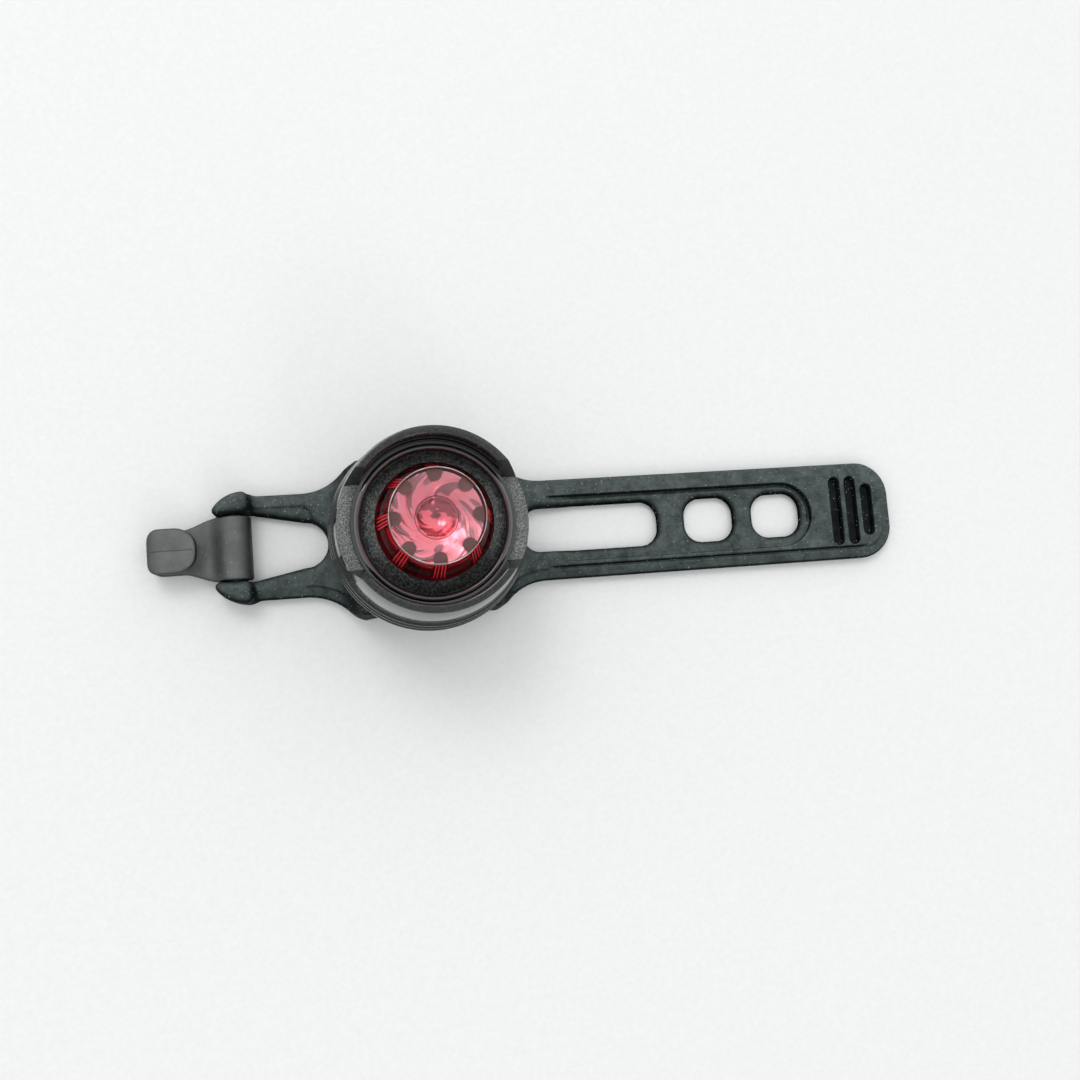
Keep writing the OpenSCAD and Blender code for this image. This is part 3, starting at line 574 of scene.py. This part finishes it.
def anodised_finish(name, dark, light, rough):
    """Black anodised aluminium with the fine rings of turning, pale specks, and dust on the rim."""
    dust_dark, dust_light = (0.006, 0.0065, 0.0065), (0.052, 0.056, 0.056)
    dust_and_shade_low, dust_and_shade_high = lamp_z + lamp_h - 1.2, lamp_z + lamp_h - 0.1
    material, tree, shader = new_finish(name, IOR=1.5, Coat_Weight=0.4, Coat_Roughness=0.05)
    place = object_place(tree)
    parts, flat, radius = round_axis(tree, place)
    cloud = noise(tree, place, Scale=420, Detail=6, Roughness=0.7)
    tone = ramp(tree, cloud, dark, light, between=(0.32, 0.7))
    dust_and_shade = noise(tree, place, Scale=2400, Detail=5, Roughness=0.8)
    dust_tone = ramp(tree, dust_and_shade, dust_dark, dust_light, between=(0.36, 0.74))
    on_rim = spread_value(tree, parts["Z"], 0, 1, dust_and_shade_low * MM, dust_and_shade_high * MM)
    tone = dusted(tree, mixed(tree, on_rim, tone, dust_tone), place, scale=1700, reach=0.12, share=0.72)
    feed(tree, shader, Base_Color=tone, Roughness=spread_value(tree, cloud, *rough))
    rings = wire(tree, "ShaderNodeCombineXYZ", {"X": radius, "Y": parts["Z"]}).outputs[0]
    roughen(tree, shader, noise(tree, rings, Scale=9000, Detail=2), strength=0.12, depth=0.02)
    return material


black_aluminium = anodised_finish(
    "black_aluminium", dark=(0.003, 0.0035, 0.0035), light=(0.009, 0.0095, 0.01), rough=(0.08, 0.2),
)
thread_start, thread_stop = thread_low - thread_margin, thread_high + thread_margin
thread_heights = np.arange(thread_start, thread_stop, thread_pitch / rows_a_pitch)
foot_profile = [
    (0, foot_low), (foot_r, foot_low), (foot_r, foot_high), (neck_r, foot_high), (neck_r, 0),
    (flange_r, 0), (flange_r, flange_h), (spigot_r, flange_h),
]
well_profile = [
    (spigot_r, thread_high), (spigot_r, spigot_top), (well_r, spigot_top),
    (well_r, well_floor), (0, well_floor),
]
base_profile = [
    *broken_edges(foot_profile, edge_break)[:-eased_points],
    (spigot_r, flange_h),
    *[(spigot_r, z) for z in thread_heights],
    *broken_edges(well_profile, edge_break)[eased_points:],
]
base_turned = add_piece("base_cap_turned", *turned_mesh(base_profile, threaded), black_aluminium)
set_sharp(base_turned, degrees=50)
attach(base_turned, "base")
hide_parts("base_cap")


# Negative spring: a leaf of rolled brass on the floor of the base cap's well.
# Its arm springs up against the lower cell and joins that cell to the base cap.


def dress(node, material):
    """Gives a CAD piece its finish."""
    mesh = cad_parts[node].data
    mesh.materials.clear()
    mesh.materials.append(material)


def metal_finish(name, dark, light, rough, marks_scale):
    """Bare metal with drawn or rolled marks along it."""
    stretch = (0.06, 1, 1)
    material, tree, shader = new_finish(name, Metallic=1.0)
    along = wire(tree, "ShaderNodeMapping", {"Vector": object_place(tree), "Scale": stretch}).outputs[0]
    marks = noise(tree, along, Scale=marks_scale, Detail=4)
    feed(tree, shader, Base_Color=ramp(tree, marks, dark, light, between=(0.3, 0.7)))
    feed(tree, shader, Roughness=spread_value(tree, marks, *rough))
    return material


contact_brass = metal_finish(
    "contact_brass", dark=(0.58, 0.44, 0.2), light=(0.78, 0.64, 0.36), rough=(0.2, 0.4), marks_scale=3000,
)
dress("negative_spring", contact_brass)


# Battery holder: a black plastic ring, moulded to drop into the base cap's well.
# It keeps the two cells in the middle of the well and clear of its wall.


def moulded_finish(name, dark, light, rough, grain, grain_scale=3000, **sockets):
    """Moulded plastic or rubber with a slightly uneven tone and a fine grain."""
    material, tree, shader = new_finish(name, **sockets)
    place = object_place(tree)
    cloud = noise(tree, place, Scale=380, Detail=6, Roughness=0.68)
    feed(tree, shader, Base_Color=ramp(tree, cloud, dark, light, between=(0.3, 0.7)))
    feed(tree, shader, Roughness=spread_value(tree, cloud, *rough))
    roughen(tree, shader, noise(tree, place, Scale=grain_scale, Detail=3), strength=grain, depth=0.05)
    return material


dress("battery_holder", moulded_finish(
    "holder_plastic", dark=(0.03, 0.03, 0.034), light=(0.07, 0.07, 0.075), rough=(0.5, 0.7),
    grain=0.3, grain_scale=4000,
))


# Coin cells: two alike in pressed steel cans, stacked in the holder.
# They lie loose there, held between the two brass leaves once the housing is screwed down.

cell_steel = metal_finish(
    "cell_steel", dark=(0.5, 0.5, 0.52), light=(0.68, 0.68, 0.7), rough=(0.22, 0.42), marks_scale=2500,
)
dress("coin_cell_lower", cell_steel)
dress("coin_cell_upper", cell_steel)


# Seal ring: a round cord of black rubber between the base cap's flange and the housing.
# It lies in a pocket in the housing, rises with it, and keeps water out of the thread.

dress("seal_ring", moulded_finish(
    "seal_rubber", dark=(0.02, 0.02, 0.02), light=(0.04, 0.04, 0.04), rough=(0.35, 0.55),
    grain=0.15, grain_scale=3500,
))


# Housing: the lamp's conical body, turned from black anodised aluminium with two ring grooves low down.
# Two notches are milled across its rim, with blasted floors. It unscrews from the base cap for the cells.

house_z = 2.35
seal_pocket_r, seal_top, lower_bore_r = 14.45, 3.3, 13.25
board_low, board_high, board_bore_r = 9.7, 10.7, 12.0
ledge_top, ledge_bore_r, rim_bore_r, rim_chamfer = 11.6, 10.6, 12.45, 0.3
ring_grooves, groove_w, groove_depth = (4.6, 6.8), 0.6, 0.75
notch_z, notch_floor_w, notch_top_w, notch_edge = 13.0, 12.7, 16.2, 0.12
notch_lean = (notch_top_w - notch_floor_w) / 2 / (lamp_h - notch_z)
cutter_over = 1.0
faces_up = 0.9
turned_face, floor_face, end_face = range(3)


def body_r(z):
    """Radius of the lamp's outside at a height above its base."""
    return base_r - (base_r - rim_r) * z / lamp_h


def notch_cutter():
    """The mill's path: a bar across the rim whose sides lean outwards."""
    rise = lamp_h - notch_z + cutter_over
    half_low = notch_floor_w / 2
    half_high = half_low + notch_lean * rise
    low, high, reach = lamp_z + notch_z, lamp_z + notch_z + rise, 2 * base_r
    ring = [(-half_low, low), (half_low, low), (half_high, high), (-half_high, high)]
    points = [(x, y, z) for x in (-reach, reach) for y, z in ring]
    faces = [(3, 2, 1, 0), (4, 5, 6, 7), (0, 1, 5, 4), (1, 2, 6, 5), (2, 3, 7, 6), (3, 0, 4, 7)]
    return points, faces


def cut_out(piece, points, faces):
    """Cuts a closed form, given in millimetres, out of a piece."""
    mesh = bpy.data.meshes.new("cutter")
    mesh.from_pydata([tuple(c * MM for c in p) for p in points], [], faces)
    cutter = bpy.data.objects.new("cutter", mesh)
    bpy.context.scene.collection.objects.link(cutter)
    cut = piece.modifiers.new("cut", "BOOLEAN")
    cut.object, cut.operation, cut.solver = cutter, "DIFFERENCE", "EXACT"
    bpy.context.view_layer.update()
    result = piece.evaluated_get(bpy.context.evaluated_depsgraph_get())
    made = bpy.data.meshes.new_from_object(result)
    piece.modifiers.clear()
    piece.data = made
    bpy.data.objects.remove(cutter)


def is_notch_face(face):
    """Whether a face is part of a notch's floor or of its leaning ends."""
    middle = face.calc_center_median() / MM
    rise = middle.z - lamp_z - notch_z
    on_floor = abs(rise) < touch and abs(face.normal.z) > faces_up
    on_end = rise > -touch and abs(abs(middle.y) - notch_floor_w / 2 - notch_lean * rise) < touch
    return on_floor or on_end


def blasted_finish():
    """Blasted aluminium under black anodising: a coarse grain of uneven tone, whose bright points are painted
    glints.
    """
    dark, light = (0.006, 0.006, 0.0065), (0.27, 0.28, 0.275)
    material, tree, shader = new_finish("blasted_aluminium", Specular_IOR_Level=0.8)
    place = object_place(tree)
    grain = noise(tree, place, Scale=5200, Detail=5, Roughness=0.8)
    # Painted glints: the brightest points of the grain get a pale colour and a smoother finish.
    tone = ramp(tree, grain, dark, light, between=(0.44, 0.6))
    tone = dusted(tree, tone, place, scale=2600, reach=0.22, share=0.45)
    feed(tree, shader, Base_Color=tone, Roughness=spread_value(tree, grain, 0.5, 0.2))
    roughen(tree, shader, grain, strength=0.7, depth=0.1)
    return material


def finish_notches(piece):
    """Breaks the edges of the notches, and sets which finish their faces have."""
    work = bmesh.new()
    work.from_mesh(piece.data)
    for face in work.faces:
        if is_notch_face(face):
            face.material_index = floor_face
    mill_edges = [
        edge for edge in work.edges
        if len(edge.link_faces) == 2 and sum(face.material_index for face in edge.link_faces) == floor_face
    ]
    bmesh.ops.bevel(
        work, geom=mill_edges, offset=notch_edge * MM, segments=2, profile=0.5, affect="EDGES",
        clamp_overlap=True, material=turned_face,
    )
    for face in work.faces:
        if face.material_index == floor_face:
            face.smooth = False
            face.material_index = floor_face if face.normal.z > faces_up else end_face
    work.to_mesh(piece.data)
    work.free()


land_r = body_r(house_z)
house_profile = [(seal_pocket_r, house_z), (land_r, house_z)]
for groove in ring_grooves:
    low, high = groove - groove_w / 2, groove + groove_w / 2
    floor_r = body_r(groove) - groove_depth
    house_profile += [(land_r, low), (floor_r, low), (floor_r, high), (body_r(high), high)]
    land_r = body_r(high)
house_profile += [
    (rim_r, lamp_h), (rim_bore_r + rim_chamfer, lamp_h), (rim_bore_r, lamp_h - rim_chamfer),
    (rim_bore_r, ledge_top), (ledge_bore_r, ledge_top), (ledge_bore_r, board_high),
    (board_bore_r, board_high), (board_bore_r, board_low), (lower_bore_r, board_low),
    (lower_bore_r, seal_top), (seal_pocket_r, seal_top),
]
house_mesh = turned_mesh(broken_edges(house_profile, edge_break))
house_turned = add_piece("housing_turned", *house_mesh, black_aluminium)
set_sharp(house_turned, degrees=50)
cut_out(house_turned, *notch_cutter())
house_turned.data.materials.append(blasted_finish())
house_turned.data.materials.append(anodised_finish(
    "milled_aluminium", dark=(0.004, 0.0045, 0.0045), light=(0.02, 0.021, 0.021), rough=(0.36, 0.52),
))
finish_notches(house_turned)
house_turned.data.set_sharp_from_angle(angle=math.radians(40))
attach(house_turned, "head")
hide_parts("housing")


# Circuit board: a disc of green laminate, seated in a step of the housing's bore.
# It carries the diode, the switch and the small parts on top, and the contact for the cells below.

dress("circuit_board", moulded_finish(
    "board_laminate", dark=(0.014, 0.085, 0.04), light=(0.03, 0.13, 0.065), rough=(0.3, 0.5),
    grain=0.1, Specular_IOR_Level=0.5,
))


# Positive contact: a second leaf of the same rolled brass, fixed under the circuit board.
# Its arm springs down against the upper cell and joins that cell to the board.

dress("positive_contact", contact_brass)


# Switch body: a small black moulded box on the board, beside the diode.
# A round well in its top takes the plunger.

dress("switch_body", moulded_finish(
    "switch_black", dark=(0.03, 0.03, 0.03), light=(0.05, 0.05, 0.05), rough=(0.4, 0.6),
    grain=0.2, grain_scale=5000,
))


# Switch plunger: a short round pin of ivory plastic in the switch's well.
# It goes down with the press button, which works the switch.

dress("switch_plunger", moulded_finish(
    "plunger_ivory", dark=(0.52, 0.48, 0.38), light=(0.66, 0.62, 0.52), rough=(0.35, 0.5),
    grain=0.1, grain_scale=4000,
))


# Control chip: a small block of black moulded epoxy on the board, across from the switch.
# It makes the light flash or stay lit.

dress("control_chip", moulded_finish(
    "chip_black", dark=(0.014, 0.014, 0.015), light=(0.03, 0.03, 0.03), rough=(0.5, 0.7),
    grain=0.3, grain_scale=6000,
))


# Resistors: two chips of glazed ceramic, soldered to the board.
# They lie on the two sides between the switch and the control chip.

dress("resistors", moulded_finish(
    "resistor_ceramic", dark=(0.03, 0.03, 0.036), light=(0.07, 0.07, 0.08), rough=(0.2, 0.4),
    grain=0.1, grain_scale=5000,
))


# Diode: a dome of clear cast epoxy with a plated metal frame inside, which is a cup on a post.
# It stands in the middle of the board, under the lens.


def epoxy_finish():
    """Clear epoxy with a faint haze, as diodes are cast."""
    clear = (1.0, 0.95, 0.95, 1)
    material, tree, shader = new_finish("diode_epoxy", Base_Color=clear, Transmission_Weight=0.35, IOR=1.5)
    haze = noise(tree, object_place(tree), Scale=900, Detail=3)
    feed(tree, shader, Roughness=spread_value(tree, haze, 0.02, 0.12))
    return material


dress("led_dome", epoxy_finish())
dress("led_frame", metal_finish(
    "diode_metal", dark=(0.62, 0.62, 0.6), light=(0.86, 0.86, 0.84), rough=(0.15, 0.35), marks_scale=4000,
))


# Return ring: soft grey silicone between the ledge in the housing and the button's bezel.
# It is squeezed when the button is pressed, pushes it back, and keeps water out.

ring_in_r, ring_out_r, ring_low, ring_top = 10.65, 11.7, 11.6, 12.45
ring_edge, ring_kept = 0.22, 0.41
soft_grey = moulded_finish(
    "soft_grey", dark=(0.24, 0.24, 0.26), light=(0.36, 0.36, 0.38), rough=(0.5, 0.7),
    grain=0.15, grain_scale=3500,
)
ring_profile = [(ring_in_r, ring_low), (ring_out_r, ring_low), (ring_out_r, ring_top), (ring_in_r, ring_top)]
soft_ring = add_piece("return_ring_soft", *turned_mesh(broken_edges(ring_profile, ring_edge)), soft_grey)
set_sharp(soft_ring, degrees=60)
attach(soft_ring, "head")
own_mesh(soft_ring)
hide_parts("return_ring")


# Bezel: the press button's matt black plastic ring, which slopes up to the lens's wall.
# It is moulded with a coarse grain, holds the lens by its flange and moves with it.


def dusty_finish():
    """Matt black plastic with a coarse spark-eroded grain and pale dust rubbed into it."""
    dark, light = (0.004, 0.0045, 0.0045), (0.26, 0.27, 0.265)
    least_rubbed, most_rubbed = 0.25, 1.1
    material, tree, shader = new_finish("bezel_black", Specular_IOR_Level=0.5)
    place = object_place(tree)
    grain = noise(tree, place, Scale=2800, Detail=6, Roughness=0.75)
    patch = noise(tree, place, Scale=620, Detail=4, Distortion=0.8)
    tone = ramp(tree, grain, dark, light, between=(0.45, 0.66))
    tone = mixed(tree, 1.0, tone, spread_value(tree, patch, least_rubbed, most_rubbed), "MULTIPLY")
    tone = dusted(tree, tone, place, scale=2300, reach=0.12, share=0.7)
    feed(tree, shader, Base_Color=tone, Roughness=spread_value(tree, patch, 0.3, 0.6))
    roughen(tree, shader, grain, strength=0.5, depth=0.06)
    return material


dress("button_bezel", dusty_finish())


# Lens: clear red polycarbonate, moulded with a hollow over the diode and fine flutes in its wall.
# Eight pockets underneath show as dark scallops through painted shade; the underside and the hollow carry
# painted reflections, and the flutes, the top bevel and the hollow's lip carry painted highlights. Its flange
# is held under the bezel.

lens_top, lens_low = 22.0, 12.6
lens_top_r, lens_wall_r, lens_bevel, lens_lip = 7.03, 8.8, 0.13, 0.03
lens_flange_r, lens_flange_top = 9.6, 13.85
wall_foot_in, wall_foot_up = 0.02, 0.1
wall_radii, wall_heights, wall_rows = (8.75, 7.2), (14.1, 21.2), 8
hollow_r, hollow_lip, hollow_side, hollow_roof, hollow_rows = 3.1, 0.12, 18.1, 17.35, 9
skirt_r, skirt_roof = 6.75, 19.2
pocket_count, pocket_w, pocket_tip_r, pocket_out_r, pocket_roof = 8, 2.1, 5.1, 6.8, 20.2
pocket_turn, pocket_bow_points = 2 * math.pi / pocket_count, 13
flute_count, flute_depth, flute_reach, flute_end = 4, 0.09, math.radians(7), 0.5
stripe_level, lens_turns = -0.1, 640
clear_face, back_face, pocket_shade_face, wall_face, flute_glint_face, edge_highlight_face, hollow_face = range(7)


def off_pocket(angle):
    """Angle from the middle of the nearest pocket."""
    return (angle + pocket_turn / 2) % pocket_turn - pocket_turn / 2


def fluted(r, z, angle):
    """Radius with the fine upright flutes in the lens's wall outside each pocket."""
    off = off_pocket(angle)
    wave = 0.5 - 0.5 * np.cos(2 * math.pi * flute_count * (off / flute_reach + 1) / 2)
    on_wall = (z > lens_flange_top) & (z < lens_top - flute_end) & (r > lens_top_r)
    return np.where(on_wall & (np.abs(off) < flute_reach), r - flute_depth * wave, r)


def pocket_cutters():
    """Eight upright prisms with a round inner end, which mould the pockets under the lens."""
    half = pocket_w / 2
    bow = np.linspace(math.pi / 2, 3 * math.pi / 2, pocket_bow_points)
    outline = [(pocket_out_r, -half), (pocket_out_r, half)]
    outline += [(pocket_tip_r + half + half * math.cos(t), half * math.sin(t)) for t in bow]
    points, faces = [], []
    for turn in pocket_turn * np.arange(pocket_count):
        start, size = len(points), len(outline)
        for z in (lens_low - cutter_over, pocket_roof):
            points += [
                (x * math.cos(turn) - y * math.sin(turn), x * math.sin(turn) + y * math.cos(turn), z + lamp_z)
                for x, y in outline
            ]
        low = [start + i for i in range(size)]
        faces.append(low[::-1])
        faces.append([i + size for i in low])
        faces += [(i, j, j + size, i + size) for i, j in zip(low, low[1:] + low[:1])]
    return points, faces


def lens_finish(name, tint):
    """Clear red polycarbonate: polished, and the deeper the red the more of it light crosses."""
    stain, stain_density = (0.985, 0.08, 0.226, 1), 190
    material, tree, shader = new_finish(name, Base_Color=(*tint, 1), Transmission_Weight=1.0, IOR=1.53)
    haze = noise(tree, object_place(tree), Scale=600, Detail=4)
    feed(tree, shader, Roughness=spread_value(tree, haze, 0.0, 0.05))
    depth = wire(tree, "ShaderNodeVolumeAbsorption", {"Color": stain, "Density": stain_density})
    feed(tree, tree.nodes["Material Output"], Volume=depth.outputs["Volume"])
    return material


def lens_back_finish(name, swirl, half_shade_sway, relief, roughness):
    """The lens's underside: a marbled pattern of painted reflections, bright where light would come back
    through the red, with painted highlights along the folds between its tones.
    """
    dark, light, fold_highlight = (0.42, 0.56, 0.54), (1, 1, 1), (1, 1.8, 1.65, 1)
    fold_level, fold_soft, fold_half_w = 0.45, 0.02, 0.034
    twist_rate = 230.0
    material, tree, shader = new_finish(name, Metallic=0.9, Roughness=roughness)
    parts, flat, radius = round_axis(tree, object_place(tree))
    twist = calc(tree, "MULTIPLY", radius, twist_rate)
    spiral = wire(tree, "ShaderNodeVectorRotate", {"Vector": flat, "Angle": twist}, rotation_type="Z_AXIS")
    curl = noise(tree, spiral.outputs[0], Scale=swirl, Detail=1.2, Distortion=1.6)
    # Painted shade: half_shade_sway tilts the pattern by Y so that one half of the hollow is darker than the
    # other.
    curl = calc(tree, "ADD", curl, calc(tree, "MULTIPLY", parts["Y"], -half_shade_sway))
    # Painted reflection: bright and pale tones in swirls, with fold_highlight painting lines brighter than
    # white along their edges.
    tone = ramp(tree, curl, dark, light, between=(fold_level - fold_soft, fold_level + fold_soft))
    off_fold = calc(tree, "ABSOLUTE", calc(tree, "SUBTRACT", curl, fold_level))
    fold_highlight_share = spread_value(tree, off_fold, 1, 0, 0, fold_half_w)
    feed(tree, shader, Base_Color=mixed(tree, fold_highlight_share, tone, fold_highlight))
    roughen(tree, shader, curl, strength=relief, depth=0.5)
    return material


def lens_slot(middle):
    """Which of the lens's finishes a face has, told by where its middle lies."""
    radius, height = math.hypot(middle.x, middle.y), middle.z - lamp_z
    if abs(height - pocket_roof) < touch and radius < pocket_out_r:
        return pocket_shade_face
    if height < lens_low + touch:
        return back_face if radius < pocket_out_r else pocket_shade_face
    # The hollow gets painted shade and reflections, with a thin lip of painted highlight round it.
    if height < skirt_roof + touch and radius < skirt_r + touch:
        if radius < hollow_r:
            return hollow_face
        return edge_highlight_face if radius < hollow_r + hollow_lip else back_face
    if height > lens_top - lens_bevel and radius > lens_top_r - lens_bevel:
        return edge_highlight_face
    if height > lens_flange_top and radius > lens_top_r:
        off = off_pocket(math.atan2(middle.y, middle.x))
        stripe = math.cos(2 * math.pi * flute_count * off / (2 * flute_reach)) < stripe_level
        return flute_glint_face if stripe and abs(off) < flute_reach else wall_face
    return clear_face


hollow_rise = hollow_side - hollow_roof
lens_profile = [
    *[(hollow_r * t, hollow_roof + hollow_rise * t * t) for t in np.linspace(0, 1, hollow_rows)],
    (hollow_r + hollow_lip, hollow_side), (skirt_r, skirt_roof), (skirt_r, lens_low),
    (lens_flange_r, lens_low), (lens_flange_r, lens_flange_top), (lens_wall_r, lens_flange_top),
    (lens_wall_r - wall_foot_in, lens_flange_top + wall_foot_up),
    *zip(np.linspace(*wall_radii, wall_rows), np.linspace(*wall_heights, wall_rows)),
    (lens_top_r + lens_lip, lens_top - lens_bevel), (lens_top_r - lens_bevel, lens_top), (0, lens_top),
]
lens_mesh = turned_mesh(lens_profile, fluted, lens_turns)
lens = add_piece("lens_moulded", *lens_mesh, lens_finish("lens_red", tint=(1, 1, 1)))
set_sharp(lens, degrees=35)
cut_out(lens, *pocket_cutters())
lens.data.materials.append(lens_back_finish("lens_back", swirl=240, half_shade_sway=0, relief=0.35, roughness=0.24))
# Painted shade: the pockets' faces get an opaque grey, so that they show as dark scallops.
lens.data.materials.append(moulded_finish(
    "lens_pocket", dark=(0.22, 0.23, 0.2), light=(0.34, 0.35, 0.31), rough=(0.4, 0.6),
    grain=0.2,
))
lens.data.materials.append(lens_finish("lens_wall", tint=(1.0, 0.16, 0.2)))
# Painted glints: opaque bright red stripes on every other face of the flutes.
lens.data.materials.append(moulded_finish(
    "lens_flute_glint", dark=(0.8, 0.02, 0.035), light=(0.98, 0.05, 0.07), rough=(0.15, 0.3),
    grain=0.1,
))
# Painted highlight: a pale, part clear ring on the top bevel and on the lip round the hollow.
lens.data.materials.append(moulded_finish(
    "lens_edge_highlight", dark=(0.5, 0.2, 0.22), light=(0.95, 0.86, 0.87), rough=(0.1, 0.3),
    grain=0.1, Transmission_Weight=0.6,
))
# The hollow over the diode: painted reflections, with one half in painted shade.
lens.data.materials.append(lens_back_finish("lens_hollow", swirl=420, half_shade_sway=110, relief=0.2, roughness=0.14))
for face in lens.data.polygons:
    face.material_index = lens_slot(face.center / MM)
lens.data.set_sharp_from_angle(angle=math.radians(35))
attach(lens, "button")
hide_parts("lens")


# Bead ring: glossy black plastic, moulded with a round lip.
# It is pressed into the housing's bore last, and its lip holds the button down.

dress("retaining_ring", moulded_finish(
    "bead_black", dark=(0.003, 0.003, 0.0035), light=(0.008, 0.008, 0.009), rough=(0.04, 0.12),
    grain=0.05, grain_scale=2500, IOR=2.2,
))


# Stage: a pale sheet of paper under the strap, two soft lights and a sky that is dimmer straight overhead.
# The camera looks down from nearer the hook than the tail, as in the photograph.

floor_half, floor_gap = 3000.0, 0.02
sky_tint = (0.965, 0.985, 0.98, 1)
sky_front, sky_back = 0.64, 1.2
overhead_start, overhead_end, overhead_share = 0.9, 0.99, 0.58
camera_place = Vector((-11.86, -18.51, 187.5)) * MM
camera_aim = Vector((19.87, -1.53, 6.35)) * MM
camera_up = Vector((0.0639, 0.9925, 0.1042))


def sheet_finish():
    """Pale paper with a faint tooth."""
    dark, light = (0.87, 0.878, 0.874), (0.91, 0.916, 0.913)
    material, tree, shader = new_finish("pale_sheet", Specular_IOR_Level=0.2, Roughness=0.7)
    tooth = noise(tree, object_place(tree), Scale=1500, Detail=3)
    feed(tree, shader, Base_Color=ramp(tree, tooth, dark, light, between=(0.3, 0.7)))
    return material


def add_light(name, size, energy, place):
    """Round soft light, in metres and watts, that faces the frame's origin."""
    light = bpy.data.lights.new(name, "AREA")
    light.shape, light.size, light.energy = "DISK", size, energy
    stand = bpy.data.objects.new(name, light)
    stand.location = place
    stand.rotation_euler = (-stand.location).to_track_quat("-Z", "Y").to_euler()
    bpy.context.scene.collection.objects.link(stand)


corners = [
    (x * floor_half, y * floor_half, strap_under - floor_gap) for x, y in ((-1, -1), (1, -1), (1, 1), (-1, 1))
]
floor = add_piece("floor", corners, [(0, 1, 2, 3)], sheet_finish())

world = bpy.data.worlds.new("soft_sky")
world.use_nodes = True
sky = world.node_tree
sky_side = wire(sky, "ShaderNodeTexCoord").outputs["Generated"]
sky_parts = wire(sky, "ShaderNodeSeparateXYZ", {"Vector": sky_side}).outputs
sky_level = spread_value(sky, sky_parts["Y"], sky_front, sky_back, -1, 1)
overhead = spread_value(sky, sky_parts["Z"], 1, overhead_share, overhead_start, overhead_end)
background = sky.nodes["Background"]
background.inputs["Color"].default_value = sky_tint
feed(sky, background, Strength=calc(sky, "MULTIPLY", sky_level, overhead))
bpy.context.scene.world = world

add_light("softbox", size=0.5, energy=2.4, place=(-0.3, 0.6, 0.95))
add_light("fill", size=0.3, energy=0.7, place=(0.3, -0.9, 0.7))

camera = bpy.data.cameras.new("camera")
camera.sensor_width = 36.0
camera.lens = 35.33
camera.clip_start = 0.005
camera_object = bpy.data.objects.new("camera", camera)
bpy.context.scene.collection.objects.link(camera_object)
ahead = (camera_aim - camera_place).normalized()
right = ahead.cross(camera_up).normalized()
turn = Matrix((right, right.cross(ahead), -ahead)).transposed()
camera_object.matrix_world = Matrix.Translation(camera_place) @ turn.to_4x4()
bpy.context.scene.camera = camera_object

bpy.context.scene.view_settings.view_transform = "Standard"
